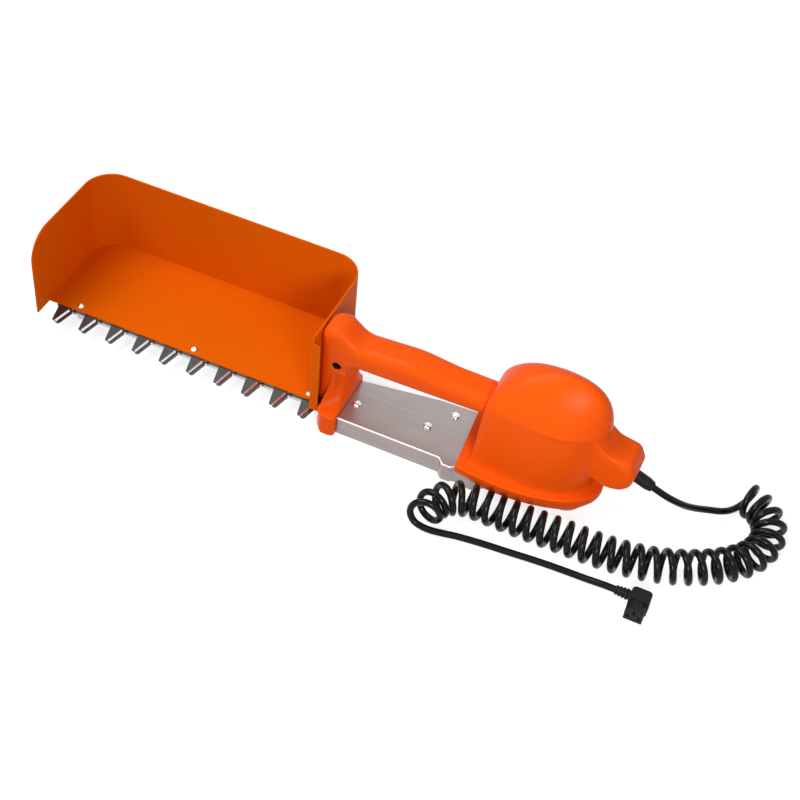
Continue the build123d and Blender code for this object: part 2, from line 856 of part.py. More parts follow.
def make_plug_body():
    """Rear block that the cord enters from the side, and a shouldered nose with the sockets."""
    rear = rounded([
        (plug_left, plug_step, 0),
        (plug_right, plug_step, 0),
        (plug_right, plug_back, 4),
        (plug_left, plug_back, 4),
    ])
    low = plug_left + plug_inset
    high = plug_right - plug_inset
    nose_top = plug_height - plug_inset
    nose = rounded([
        (low, plug_inset, 0),
        (high, plug_inset, 0),
        (high, plug_shoulder_z, 1),
        (high - plug_shoulder, nose_top, 1),
        (low + plug_shoulder, nose_top, 1),
        (low, plug_shoulder_z, 1),
    ])
    body = prism(rear, 0, plug_height) + side_prism(nose, plug_front, plug_step)
    for slot in plug_slots():
        body -= side_prism(slot, plug_front, plug_front + socket_depth)
    return body


def make_plug_contacts():
    """Sprung brass tongues inside the three sockets, seated on their ends."""
    tongues = [offset(slot, -0.2) for slot in plug_slots()]
    return group(side_prism(tongue, plug_front + 3.0, plug_front + socket_depth) for tongue in tongues)


upside_down = Rot(180, 0, 0)
curls = Curls()
nodes = {
    "scoop_wall": make_scoop_wall(),
    "scoop_floor": make_scoop_floor(),
    "upper_blade": make_blade(upper_z, 0, True),
    "lower_blade": make_blade(lower_z, lower_tooth_lead, False),
    "retaining_bar": make_retaining_bar(),
    "blade_screws": group(
        Pos(x, blade_screw_y, floor_top) * pan_screw(14.6, blade_screw_r, 4.6, 2.8)
        for x in blade_screw_xs),
    "blade_nuts": group(
        hexagon(x, blade_screw_y, bar_bottom - 4, bar_bottom, 8, blade_screw_r) for x in blade_screw_xs),
    "bar_spacer": hexagon(*clamp_screw, bar_top, plate_bottom, 7, pilot_r),
    "bar_nut": hexagon(*clamp_screw, bar_bottom - 3.2, bar_bottom, 7, pilot_r),
    "chassis_plate": make_chassis_plate(),
    "bottom_cover": make_bottom_cover(),
    "cover_pillars": group(
        hexagon(x, y, cover_thick, plate_bottom, pillar_flats, pilot_r) for x, y in cover_pillar_places),
    "cover_screws": group(
        Pos(x, y, cover_sink) * upside_down * pan_screw(7.0, head_height=cover_sink)
        for x, y in cover_pillar_places),
    "plate_screws": group(
        [Pos(*clamp_screw, tray_height) * pan_screw(14.0)]
        + [Pos(x, y, tray_height) * pan_screw(8.0) for x, y in cover_pillar_places]),
    "wall_screws": group(at_wall_screw(z) * pan_screw(wall_screw_length) for z in wall_screw_heights),
    "handle_screws": group(
        Pos(x, y, plate_bottom) * upside_down * pan_screw(14.0) for x, y in handle_screw_places),
    "housing_screws": group(
        Pos(x, y, plate_bottom) * upside_down * pan_screw(14.0) for x, y in housing_screw_places),
    "handle": make_handle(),
    "motor_housing": make_motor_housing(),
    "bearing_carrier": make_bearing_carrier(),
    "crank_bearing": ring(crank_x, middle_y, bearing_z, bearing_z + bearing_width, bearing_r,
                          shaft_r + fit_gap),
    "lower_bushing": ring(crank_x, middle_y, cover_thick, bushing_top, bushing_r, shaft_r + fit_gap),
    "crankshaft": make_crankshaft(),
    "drive_gear": make_drive_gear(),
    "gear_nut": hexagon(crank_x, middle_y, hub_top, hub_top + 4, 13, shaft_r + fit_gap),
    "pinion": make_pinion(),
    "motor_shaft": disc(motor_x, middle_y, gear_z - 2, motor_z + shaft_depth, motor_shaft_r),
    "motor_can": make_motor_can(),
    "motor_plate": make_motor_plate(),
    "motor_pillars": group(
        hexagon(x, y, tray_height, motor_plate_z, pillar_flats, pilot_r) for x, y in motor_pillar_places),
    "pillar_screws": group(Pos(x, y, motor_z) * pan_screw(10.0) for x, y in motor_pillar_places),
    "motor_screws": group(
        Pos(x, y, motor_plate_z) * upside_down * pan_screw(4.5, 1.5, 2.6, 1.8)
        for x, y in motor_screw_places()),
    "cord_sleeve": make_cord_sleeve(),
    "cord_lead": tube("lead", route("lead", lead_points(curls))),
    "curly_cord": make_curly_cord(curls),
    "cord_tail": tube("tail", route("tail", tail_points(curls))),
    "plug_relief": make_plug_relief(),
    "plug_body": make_plug_body(),
    "plug_contacts": make_plug_contacts(),
}

os.makedirs("parts", exist_ok=True)
for name, shape in nodes.items():
    export_step(shape, f"parts/{name}.step")
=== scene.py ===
import math

import bmesh
import bpy
from bpy.props import FloatProperty, FloatVectorProperty, IntProperty, PointerProperty
from mathutils import Euler, Matrix, Vector


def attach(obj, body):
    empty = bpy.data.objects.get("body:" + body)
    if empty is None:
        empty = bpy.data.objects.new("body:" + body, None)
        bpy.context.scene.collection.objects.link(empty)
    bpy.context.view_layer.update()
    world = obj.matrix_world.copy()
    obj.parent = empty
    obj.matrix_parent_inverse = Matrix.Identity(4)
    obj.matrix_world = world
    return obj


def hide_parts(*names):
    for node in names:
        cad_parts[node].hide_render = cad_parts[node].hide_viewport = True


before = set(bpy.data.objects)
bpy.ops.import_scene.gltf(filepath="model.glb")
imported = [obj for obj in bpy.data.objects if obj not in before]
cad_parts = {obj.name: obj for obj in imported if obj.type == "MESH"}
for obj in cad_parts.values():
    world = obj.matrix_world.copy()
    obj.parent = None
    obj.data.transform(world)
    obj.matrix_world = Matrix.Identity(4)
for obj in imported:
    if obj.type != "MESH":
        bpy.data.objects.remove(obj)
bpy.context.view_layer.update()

bl_info = {
    "name": "Tea cutter head",
    "version": (1, 0, 0),
    "blender": (4, 5, 0),
    "location": "3D View > Sidebar > Tea cutter",
    "description": "Dresses the cutter head of a tea harvester, with its curly lead and its stage",
    "category": "Object",
}

# Places and sizes are in millimetres, apart from the stage's. MM turns them into metres.
MM = 0.001

# Cutter: painted glints, as bright spots at the roots of the lower blade's teeth
TEETH = 10
TOOTH_PITCH = 30.0
FIRST_GLINT = (-274.6, -43.2, 14.2)

# Screws: where the heads sit
PLATE_SCREWS = [(29.5, -27.1, 20), (100.7, -21, 20), (119.1, 3.5, 20), (252, -21.5, 20)]
BLADE_SCREWS = [(x, -34.8, 18) for x in (-270, -142.6, -16.9)]
SHANK_RADIUS = 1.9

# Chassis plate: its outline's corners are x, y and radius
PLATE_TOP = 20.0
PLATE_SHEET = 2.0
TRAY_CORNERS = [
    (2, -52.2, 2.2), (125.5, -52.2, 5), (131, -58.7, 5), (139, -58.7, 3), (143.5, -55.8, 3),
    (161.5, -58.6, 6), (173, -50.5, 6), (205, -48.5, 20), (261, -38.5, 18), (262, -1, 18),
    (205, 11.7, 25), (150, 20, 18), (100, 17, 30), (2, 1.7, 2.2),
]
BLADE_MOUTH = [(0, -50.2), (5, -50.2), (5, 0), (0, 0)]
BLADE_MOUTH_Z = (-1.0, 17.99)
CRANK_X = 186.5
CRANK_HOLE_RADIUS = 6.5

# Cover under the plate: its front edge steps back between two places along X
COVER_FRONT_Y = -30.0
COVER_STEP = 6.7
COVER_STEP_X = (165.0, 177.0)

# Handle: its screw hole, the cut at the front of its column and the ramp below
GRIP_END_X = 150.0
HANDLE_HOLE = (10.5, -38.5, 72.0)
HANDLE_HOLE_RADIUS = 4.2
HANDLE_HOLE_DEPTH = 24.0
COLUMN_CUT = [(-9.0, -70.0), (30.0, -70.0), (30.0, -6.0), (20.6, -6.0), (9.2, -38.6), (-9.0, -38.6)]
COLUMN_CUT_Z = (23.9, 61.0)
RAMP_TOP = [(9.2, -40.0), (14.9, -23.0), (20.5, -6.0)]
RAMP_FOOT = [(-1.0, -56.5), (20.5, -57.0), (20.5, -26.0)]
RAMP_BACK = [(20.5, -5.0), (9.5, -5.0)]
RAMP_LEFT_BACK_Y = -30.0
RAMP_Z = (21.5, 63.0)

# Motor housing's dome: each size of its wall is the one at the base and the gain up to the crease
MIDDLE_Y = -21.5
DOME_BASE_Z, DOME_CREASE_Z, DOME_TOP_Z = 20.0, 101.5, 148.0
DOME_PEAK_X = 220.5
DOME_LEFT_X, DOME_NOSE_X, DOME_WIDEST_X = (153.5, 6.0), (263.0, 8.5), (209.0, 4.0)
DOME_FRONT, DOME_BACK, DOME_LEFT_HALF = (35.3, -2.8), (42.0, -9.5), (30.0, -5.0)
VAULT_POWERS = {"left": 1.6, "nose": 2.57, "front": 1.35, "back": 1.7}
VAULT_SHOULDER = 0.6
FLARE = 3.0
FLARE_LOW_Z, FLARE_TOP_Z = 28.0, 40.0
RIDGE_HEIGHT, RIDGE_WIDTH = 0.9, 2.4
RIDGE_X, RIDGE_LENGTH = 234.0, 20.0
CAVITY_LEVELS = (18, 40, 60, 80, 101.5, 106, 110, 113)
HOUSING_POSTS = ((162, -49), (162, 6), (250, -31), (250, -12))
POST_Z = (20, 36)
POST_RADIUS = 3.2

# Motor housing's flange: its plan, the height and inset of its rings, and its rim's drop and lean
FLANGE_FRONT, FLANGE_BACK = (191.4, -65.7), (217.0, 24.5)
FLANGE_FRONT_LEFT, FLANGE_BACK_LEFT = (144.5, -61.5), (137.5, 17.5)
FLANGE_FRONT_RIGHT, FLANGE_BACK_RIGHT = (270.8, -38.7), (270.8, -4.3)
FLANGE_SHOULDER = (250.0, -54.6)
FLANGE_CORNER = ((256.0, -51.3), (261.4, -47.4), (266.4, -43.1))
FLANGE_CORNER_INWARD = (-0.6, 0.8)
FLANGE_NOSE_X = 275.3
FLANGE_RINGS = ((20.0, 0.0), (26.9, 0.0), (27.5, 0.2), (27.9, 0.6), (28.05, 1.2))
FLANGE_CLEAR_Z = 29.0
FLANGE_LEAN = 0.8
RIM_DROP, RIM_LEAN = 5.5, 1.6
RIM_GROWS_X, RIM_GROWS_Y = (158.0, 174.0), (-40.0, -50.0)

# Motor housing's cord boss: its side's corners are x, z and radius, its back rings y and inset
BOSS_CORNERS = [(256.0, 104.0, 1), (256.0, 57.5, 1), (276.0, 48.0, 8), (300.0, 48.5, 12),
                (304.0, 69.5, 6), (298.0, 83.0, 8), (277.0, 87.0, 12)]
BOSS_CENTRE = (280.0, 69.0)
BOSS_FRONT_Y = -39.0
BOSS_BEVEL, BOSS_END_BEVEL = 2.6, 5.4
BOSS_BEVEL_GROWS_X = (284.0, 298.0)
BOSS_BACK_RINGS = ((-6.6, 0.0), (-4.8, 0.7), (-4.0, 2.4))

# Lead: its sleeve, its way to the curls, the curls' middle line, its tail and its plug's relief
SLEEVE_START = Vector((292.0, MIDDLE_Y, 63.0))
SLEEVE_AXIS = Vector((15, 0, -6)).normalized()
SLEEVE_END = SLEEVE_START + SLEEVE_AXIS * 29.0
SLEEVE_HOLE_RADIUS = 6.1
WIRE_Z = 3.35
LEAD_ROUTE = [(344, -16, 38.5), (352, -7.5, 28.8), (360.5, 2, 20.4), (369, 11, 14)]
COIL_ROUTE = [
    (395, 40), (406, 36), (416, 30), (423.5, 21), (428, 10), (429, -3), (426, -16), (419.5, -28.5),
    (410, -39.5), (398, -49.5), (382, -60), (361, -70.3), (336, -78.3), (311, -82.3), (284, -83.8),
    (255, -83.8), (225, -84.4), (198, -84.4), (177, -83.2), (161, -85.5), (149.5, -92.5), (142.5, -103),
    (139.8, -115), (140.3, -122.3),
]
TAIL_ROUTE = [(162.5, -119.9), (174, -117.2), (197, -114.4), (220.6, -112.6), (244, -110.3), (267, -108.8)]
TAIL_RISE = (294, -110, 5.6)
RELIEF_START = Vector((322.0, -111.5, 9.0))

# Stage, in metres and degrees: the camera stands where the photograph was taken from
FLOOR_REACH, FLOOR_Z = 6.0, -0.0003
CAMERA_PLACE = (0.42, -0.99375, 1.12258)
CAMERA_TURN = (43.5255, -4.2955, 24.2853)
CAMERA_LENS, CAMERA_SENSOR = 71.73, 36.0


def length_prop(name, description, millimetres):
    return FloatProperty(name=name, description=description, default=millimetres * MM,
                         min=0.0, precision=5, unit="LENGTH", subtype="DISTANCE")


def count_prop(name, description, count, low, high):
    return IntProperty(name=name, description=description, default=count, min=low, max=high)


def colour_prop(name, description, rgb):
    return FloatVectorProperty(name=name, description=description, default=rgb, size=3,
                               min=0.0, max=1.0, subtype="COLOR")


class CutterSizes(bpy.types.PropertyGroup):
    """Sizes of the dressed pieces that a user would change."""

    sheet_edge: length_prop("Sheet edge", "Radius of the painted sheet's cut edges", 0.35)
    plate_fold: length_prop("Plate fold", "Radius of the chassis plate's folds", 1.2)
    plate_edge: length_prop("Plate edge", "Radius of the cover's cut edges", 0.35)
    blade_edge: length_prop("Blade edge", "Radius left on the blades' cut edges", 0.15)
    plug_edge: length_prop("Plug edge", "Radius of the plug's moulded edges", 0.9)
    sleeve_edge: length_prop("Sleeve edge", "Radius of the cord sleeve's moulded edges", 0.5)
    moulding_grid: length_prop("Moulding grid", "Mesh spacing of the two mouldings", 1.1)
    handle_soften: count_prop("Handle softness", "Smoothing passes that round the handle's edges", 5, 0, 40)
    housing_soften: count_prop("Housing softness", "Smoothing passes that blend the dome and boss", 4, 0, 40)
    housing_shell: length_prop("Housing shell", "Wall of the motor housing", 2.5)
    wire_radius: length_prop("Wire radius", "Radius of the lead", 3.3)
    curl_radius: length_prop("Curl radius", "Radius of the curls at the middle of the wire", 13.45)
    curls: count_prop("Curls", "Turns spread evenly over the curly stretch", 31, 4, 80)
    recess_width: length_prop("Recess width", "Width of the cross recess in the screw heads", 1.15)
    glint_spot: length_prop("Glint spot", "Radius of the painted glint at each lower tooth's root", 1.35)


class CutterColours(bpy.types.PropertyGroup):
    """Colours of the finishes."""

    scoop: colour_prop("Scoop paint", "Powder paint on the scoop", (0.74, 0.118, 0.001))
    moulding: colour_prop("Moulding", "Orange plastic of the handle and the housing", (0.90, 0.096, 0.003))
    plate: colour_prop("Plate", "Satin finish of the chassis plate", (0.45, 0.395, 0.382))
    blade: colour_prop("Blade", "Oiled flats of the blades", (0.115, 0.128, 0.132))
    steel: colour_prop("Steel", "Bright steel of screws and ground edges", (0.80, 0.80, 0.79))
    bronze: colour_prop("Bronze", "Bushings and contacts", (0.55, 0.33, 0.14))
    lead: colour_prop("Lead", "Jacket of the lead", (0.003, 0.003, 0.003))
    plug: colour_prop("Plug", "Plastic of the plug and its reliefs", (0.008, 0.008, 0.008))
    floor: colour_prop("Floor", "Studio floor", (0.42, 0.42, 0.42))


# Node trees

SURFACE_OUTPUTS = [("Colour", "Color", None), ("Roughness", "Float", None), ("Height", "Float", None)]
GROWTH_OUTPUTS = [("Geometry", "Geometry", None)]
# Sockets of a Mix node that mixes colours
MIX_FIRST, MIX_SECOND, MIX_RESULT = 6, 7, 2
# Sockets of a Random Value node that gives single numbers
RANDOM_LOW, RANDOM_HIGH, RANDOM_VALUE = 2, 3, 1


def add_node(tree, kind, inputs=None, **settings):
    """New node with its settings, and with its inputs linked or set by name or number."""
    node = tree.nodes.new(kind)
    for name, value in settings.items():
        setattr(node, name, value)
    for key, value in (inputs or {}).items():
        socket = node.inputs[key]
        if isinstance(value, bpy.types.NodeSocket):
            tree.links.new(value, socket)
        else:
            socket.default_value = value
    return node


def maths(tree, operation, *values):
    return add_node(tree, "ShaderNodeMath", dict(enumerate(values)), operation=operation).outputs[0]


def xyz(tree, **parts):
    return add_node(tree, "ShaderNodeCombineXYZ", parts).outputs[0]


def noise(tree, place, scale, detail):
    return add_node(tree, "ShaderNodeTexNoise",
                    {"Vector": place, "Scale": scale, "Detail": detail}).outputs["Fac"]


def widened(tree, value, low, high):
    """The values from low to high, spread over 0 to 1."""
    return add_node(tree, "ShaderNodeMapRange",
                    {"Value": value, "From Min": low, "From Max": high}).outputs["Result"]


def start_group(name, kind, inputs, outputs):
    """New node group with named sockets, and the sockets of its input node."""
    tree = bpy.data.node_groups.new(name, kind)
    for side, sockets in (("INPUT", inputs), ("OUTPUT", outputs)):
        for socket_name, socket_kind, value in sockets:
            socket = tree.interface.new_socket(name=socket_name, in_out=side,
                                               socket_type="NodeSocket" + socket_kind)
            if value is not None:
                socket.default_value = value
    return tree, add_node(tree, "NodeGroupInput").outputs


def end_surface(tree, given, tint, gloss, height):
    """Last nodes of a surface group: tint drives the colour and gloss the roughness."""
    colour = add_node(tree, "ShaderNodeMix",
                      {"Factor": tint, MIX_FIRST: given["Colour"], MIX_SECOND: given["Shade"]},
                      data_type="RGBA").outputs[MIX_RESULT]
    roughness = maths(tree, "MULTIPLY_ADD", gloss, given["Roughness Spread"], given["Roughness"])
    add_node(tree, "NodeGroupOutput", {"Colour": colour, "Roughness": roughness, "Height": height})
    return tree


def grain_group():
    """Drifting tint and gloss with a fine grain: painted and moulded surfaces."""
    name = "Surface grain"
    if name in bpy.data.node_groups:
        return bpy.data.node_groups[name]
    tree, given = start_group(name, "ShaderNodeTree", [
        ("Colour", "Color", (0.8, 0.1, 0.0, 1.0)),
        ("Shade", "Color", (0.6, 0.1, 0.0, 1.0)),
        ("Patch Scale", "Float", 12.0),
        ("Patch Amount", "Float", 0.3),
        ("Roughness", "Float", 0.4),
        ("Roughness Spread", "Float", 0.05),
        ("Grain Scale", "Float", 900.0),
    ], SURFACE_OUTPUTS)
    place = add_node(tree, "ShaderNodeTexCoord").outputs["Object"]
    patches = widened(tree, noise(tree, place, given["Patch Scale"], 4.0), 0.3, 0.7)
    tint = maths(tree, "MULTIPLY", patches, given["Patch Amount"])
    gloss = maths(tree, "SUBTRACT", patches, 0.5)
    return end_surface(tree, given, tint, gloss, noise(tree, place, given["Grain Scale"], 2.0))


def brushed_group():
    """Fine straight lines along X with slow tint changes: rolled and ground metal."""
    name = "Brushed metal"
    if name in bpy.data.node_groups:
        return bpy.data.node_groups[name]
    tree, given = start_group(name, "ShaderNodeTree", [
        ("Colour", "Color", (0.4, 0.4, 0.4, 1.0)),
        ("Shade", "Color", (0.3, 0.3, 0.3, 1.0)),
        ("Line Scale", "Vector", (6.0, 700.0, 700.0)),
        ("Line Amount", "Float", 0.5),
        ("Roughness", "Float", 0.35),
        ("Roughness Spread", "Float", 0.12),
    ], SURFACE_OUTPUTS)
    place = add_node(tree, "ShaderNodeTexCoord").outputs["Object"]
    drawn_out = add_node(tree, "ShaderNodeVectorMath", {0: place, 1: given["Line Scale"]},
                         operation="MULTIPLY").outputs[0]
    lines = noise(tree, drawn_out, 1.0, 3.0)
    clouds = noise(tree, place, 22.0, 3.0)
    streaks = widened(tree, maths(tree, "ADD", lines, clouds), 0.7, 1.3)
    tint = maths(tree, "MULTIPLY", streaks, given["Line Amount"])
    return end_surface(tree, given, tint, streaks, lines)


def joined(tree, *parts):
    node = add_node(tree, "GeometryNodeJoinGeometry")
    for part in parts:
        tree.links.new(part, node.inputs[0])
    return node.outputs[0]


def end_growth(tree, given, shape, placing):
    """Last nodes of a growing tree: the shape at each given point, as real mesh with its material."""
    points = add_node(tree, "GeometryNodeMeshToPoints", {"Mesh": given["Geometry"]}).outputs[0]
    many = add_node(tree, "GeometryNodeInstanceOnPoints",
                    {"Points": points, "Instance": shape, **placing}).outputs[0]
    real = add_node(tree, "GeometryNodeRealizeInstances", {"Geometry": many}).outputs[0]
    dressed = add_node(tree, "GeometryNodeSetMaterial", {"Geometry": real, "Material": given["Material"]})
    add_node(tree, "NodeGroupOutput", {"Geometry": dressed.outputs[0]})
    return tree


def screw_tree():
    """Pan head screws with a cross recess, one at each point, each turned a little differently."""
    name = "Pan head screws"
    if name in bpy.data.node_groups:
        return bpy.data.node_groups[name]
    tree, given = start_group(name, "GeometryNodeTree", [
        ("Geometry", "Geometry", None),
        ("Head Radius", "Float", 0.0035),
        ("Head Height", "Float", 0.0024),
        ("Shank Radius", "Float", 0.0015),
        ("Shank Length", "Float", 0.008),
        ("Recess Width", "Float", 0.001),
        ("Seed", "Int", 3),
        ("Material", "Material", None),
    ], GROWTH_OUTPUTS)

    def share(size, factor):
        return maths(tree, "MULTIPLY", given[size], factor)

    def lifted(shape, height):
        return add_node(tree, "GeometryNodeTransform",
                        {"Geometry": shape, "Translation": xyz(tree, Z=height)}).outputs[0]

    rim = add_node(tree, "GeometryNodeMeshCylinder",
                   {"Vertices": 24, "Radius": given["Head Radius"], "Depth": share("Head Height", 0.4)},
                   fill_type="NGON").outputs
    head, top = lifted(rim["Mesh"], share("Head Height", 0.2)), rim["Top"]
    for rise, size in ((0.3, 0.88), (0.2, 0.78), (0.1, 0.6)):
        step = add_node(tree, "GeometryNodeExtrudeMesh",
                        {"Mesh": head, "Selection": top, "Offset Scale": share("Head Height", rise),
                         "Individual": False}, mode="FACES").outputs
        top = step["Top"]
        head = add_node(tree, "GeometryNodeScaleElements",
                        {"Geometry": step["Mesh"], "Selection": top, "Scale": size},
                        domain="FACE").outputs[0]
    cut = add_node(tree, "GeometryNodeMeshBoolean", {"Mesh 1": head}, operation="DIFFERENCE",
                   solver="EXACT")
    arm, width, depth = share("Head Radius", 1.16), given["Recess Width"], share("Head Height", 1.3)
    for x, y in ((arm, width), (width, arm)):
        bar = add_node(tree, "GeometryNodeMeshCube", {"Size": xyz(tree, X=x, Y=y, Z=depth)})
        tree.links.new(lifted(bar.outputs["Mesh"], given["Head Height"]), cut.inputs["Mesh 2"])
    shank = add_node(tree, "GeometryNodeMeshCylinder",
                     {"Vertices": 12, "Radius": given["Shank Radius"], "Depth": given["Shank Length"]},
                     fill_type="NGON").outputs["Mesh"]
    screw = joined(tree, cut.outputs[0], lifted(shank, share("Shank Length", -0.5)))
    angle = add_node(tree, "FunctionNodeRandomValue",
                     {RANDOM_LOW: 0.0, RANDOM_HIGH: math.tau, "Seed": given["Seed"]},
                     data_type="FLOAT").outputs[RANDOM_VALUE]
    spin = add_node(tree, "FunctionNodeAxisAngleToRotation", {"Axis": (0.0, 0.0, 1.0), "Angle": angle})
    return end_growth(tree, given, screw, {"Rotation": spin.outputs[0]})


def rib_tree():
    """Round ribs of growing size along X on a tapered core: the plug's strain relief."""
    name = "Relief ribs"
    if name in bpy.data.node_groups:
        return bpy.data.node_groups[name]
    tree, given = start_group(name, "GeometryNodeTree", [
        ("Geometry", "Geometry", None),
        ("Ribs", "Int", 4),
        ("Pitch", "Float", 0.0033),
        ("Rib Radius", "Float", 0.0035),
        ("Rib Half Width", "Float", 0.0011),
        ("Growth", "Float", 0.06),
        ("Core Length", "Float", 0.014),
        ("Core Start", "Float", 0.0038),
        ("Core End", "Float", 0.0046),
        ("Material", "Material", None),
    ], GROWTH_OUTPUTS)

    def circle(radius, points):
        return add_node(tree, "GeometryNodeCurvePrimitiveCircle",
                        {"Resolution": points, "Radius": given[radius]}, mode="RADIUS").outputs["Curve"]

    def laid_along_x(shape):
        return add_node(tree, "GeometryNodeTransform",
                        {"Geometry": shape, "Rotation": (0.0, math.pi / 2, 0.0)}).outputs[0]

    rib = add_node(tree, "GeometryNodeCurveToMesh",
                   {"Curve": circle("Rib Radius", 32), "Profile Curve": circle("Rib Half Width", 10)})
    line = add_node(tree, "GeometryNodeMeshLine",
                    {"Count": given["Ribs"], "Start Location": xyz(tree, X=given["Rib Half Width"]),
                     "Offset": xyz(tree, X=given["Pitch"])}).outputs[0]
    index = add_node(tree, "GeometryNodeInputIndex").outputs[0]
    growth = maths(tree, "MULTIPLY_ADD", index, given["Growth"], 1.0)
    ribs = add_node(tree, "GeometryNodeInstanceOnPoints",
                    {"Points": line, "Instance": laid_along_x(rib.outputs[0]),
                     "Scale": xyz(tree, X=1.0, Y=growth, Z=growth)}).outputs[0]
    core = add_node(tree, "GeometryNodeMeshCone",
                    {"Vertices": 32, "Radius Bottom": given["Core Start"], "Radius Top": given["Core End"],
                     "Depth": given["Core Length"]}, fill_type="NGON").outputs["Mesh"]
    return end_growth(tree, given, joined(tree, ribs, laid_along_x(core)), {})


def glint_tree():
    """Flat bright lenses, one at each point: painted glints."""
    name = "Ground spots"
    if name in bpy.data.node_groups:
        return bpy.data.node_groups[name]
    tree, given = start_group(name, "GeometryNodeTree", [
        ("Geometry", "Geometry", None),
        ("Radius", "Float", 0.0013),
        ("Thickness", "Float", 0.045),
        ("Material", "Material", None),
    ], GROWTH_OUTPUTS)
    ball = add_node(tree, "GeometryNodeMeshUVSphere",
                    {"Segments": 14, "Rings": 8, "Radius": given["Radius"]}).outputs["Mesh"]
    return end_growth(tree, given, ball, {"Scale": xyz(tree, X=1.0, Y=1.0, Z=given["Thickness"])})


# Finishes

def scaled(colour, factor):
    return tuple(min(1.0, channel * factor) for channel in colour[:3]) + (1.0,)


def emptied_tree(owner):
    owner.use_nodes = True
    owner.node_tree.nodes.clear()
    return owner.node_tree


def finish(name, group, colour, tints, shader_values, group_values, bump, bump_distance):
    """Material from a surface group: its colour, gloss and height feed one shader."""
    if name in bpy.data.materials:
        return bpy.data.materials[name]
    material = bpy.data.materials.new(name)
    tree = emptied_tree(material)
    ends = {"Colour": scaled(colour, tints[0]), "Shade": scaled(colour, tints[1])}
    surface = add_node(tree, "ShaderNodeGroup", {**ends, **group_values}, node_tree=group).outputs
    relief = add_node(tree, "ShaderNodeBump",
                      {"Strength": bump, "Distance": bump_distance * MM, "Height": surface["Height"]})
    shader = add_node(tree, "ShaderNodeBsdfPrincipled",
                      {"Base Color": surface["Colour"], "Roughness": surface["Roughness"],
                       "Normal": relief.outputs["Normal"], **shader_values})
    add_node(tree, "ShaderNodeOutputMaterial", {"Surface": shader.outputs["BSDF"]})
    return material


def scoop_paint(colours, edge=False):
    # The edge copy is lighter: a painted highlight along the sheet's rounded cut edges
    lift = 1.25 if edge else 1.0
    return finish("Scoop paint highlit edge" if edge else "Scoop paint", grain_group(),
                  colours.scoop, (lift, 0.9 * lift), {"Specular IOR Level": 0.025},
                  {"Patch Scale": 9.0, "Patch Amount": 0.6, "Roughness": 0.42, "Roughness Spread": 0.08,
                   "Grain Scale": 1400.0}, 0.08, 0.4)


def orange_moulding(colours):
    return finish("Orange moulding", grain_group(),
                  colours.moulding, (1.0, 0.92), {"Specular IOR Level": 0.075},
                  {"Patch Scale": 14.0, "Patch Amount": 0.5, "Roughness": 0.32, "Roughness Spread": 0.06,
                   "Grain Scale": 1800.0}, 0.02, 0.3)


def lead_jacket(colours):
    return finish("Lead jacket", grain_group(),
                  colours.lead, (1.0, 1.7), {"Specular IOR Level": 0.16},
                  {"Patch Scale": 60.0, "Patch Amount": 0.5, "Roughness": 0.2, "Roughness Spread": 0.1,
                   "Grain Scale": 1500.0}, 0.06, 0.2)


def plug_plastic(colours):
    return finish("Plug plastic", grain_group(),
                  colours.plug, (1.0, 1.6), {"Specular IOR Level": 0.15},
                  {"Patch Scale": 120.0, "Patch Amount": 0.5, "Roughness": 0.48, "Roughness Spread": 0.12,
                   "Grain Scale": 2600.0}, 0.14, 0.2)


def plate_satin(colours, painted_light="top"):
    # The edge copy is lighter, a painted highlight on folds and cut edges; the wall copy is darker, painted
    # shade on upright walls
    lift = {"top": 1.0, "edge": 1.9, "wall": 0.8}[painted_light]
    return finish("Plate " + painted_light, brushed_group(),
                  colours.plate, (lift, 0.8 * lift), {"Metallic": 0.9},
                  {"Line Scale": (9.0, 520.0, 520.0), "Line Amount": 0.5,
                   "Roughness": 0.26, "Roughness Spread": 0.14}, 0.06, 0.2)


def blade_steel(colours):
    return finish("Blade steel", brushed_group(),
                  colours.blade, (1.0, 0.6), {"Metallic": 0.9},
                  {"Line Scale": (5.0, 900.0, 900.0), "Line Amount": 0.7,
                   "Roughness": 0.24, "Roughness Spread": 0.16}, 0.08, 0.2)


def ground_edge(colours):
    return finish("Ground edge", brushed_group(),
                  colours.steel, (1.2, 0.9), {"Metallic": 1.0},
                  {"Line Scale": (900.0, 30.0, 900.0), "Line Amount": 0.6,
                   "Roughness": 0.26, "Roughness Spread": 0.12}, 0.06, 0.2)


def plain_steel(colours):
    return finish("Steel", brushed_group(),
                  colours.steel, (0.75, 0.55), {"Metallic": 1.0},
                  {"Line Scale": (120.0, 400.0, 400.0), "Line Amount": 0.6,
                   "Roughness": 0.22, "Roughness Spread": 0.15}, 0.05, 0.2)


def bright_steel(colours):
    return finish("Bright screws", brushed_group(),
                  colours.steel, (1.15, 0.9), {"Metallic": 1.0},
                  {"Line Scale": (300.0, 300.0, 300.0), "Line Amount": 0.4,
                   "Roughness": 0.1, "Roughness Spread": 0.1}, 0.03, 0.1)


def bronze_metal(colours):
    return finish("Bronze", brushed_group(),
                  colours.bronze, (1.0, 0.75), {"Metallic": 1.0},
                  {"Line Scale": (200.0, 200.0, 200.0), "Line Amount": 0.5,
                   "Roughness": 0.25, "Roughness Spread": 0.15}, 0.05, 0.2)


# Meshes

def new_piece(name, data):
    piece = bpy.data.objects.new(name, data)
    bpy.context.scene.collection.objects.link(piece)
    return piece


def applied(piece):
    """The piece with its modifiers turned into plain mesh."""
    graph = bpy.context.evaluated_depsgraph_get()
    mesh = bpy.data.meshes.new_from_object(piece.evaluated_get(graph), preserve_all_data_layers=True,
                                           depsgraph=graph)
    old = piece.data
    piece.modifiers.clear()
    piece.data = mesh
    mesh.name = piece.name
    bpy.data.meshes.remove(old)
    return piece


def settle(piece, body, nodes):
    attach(piece, body)
    if nodes:
        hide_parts(*nodes)


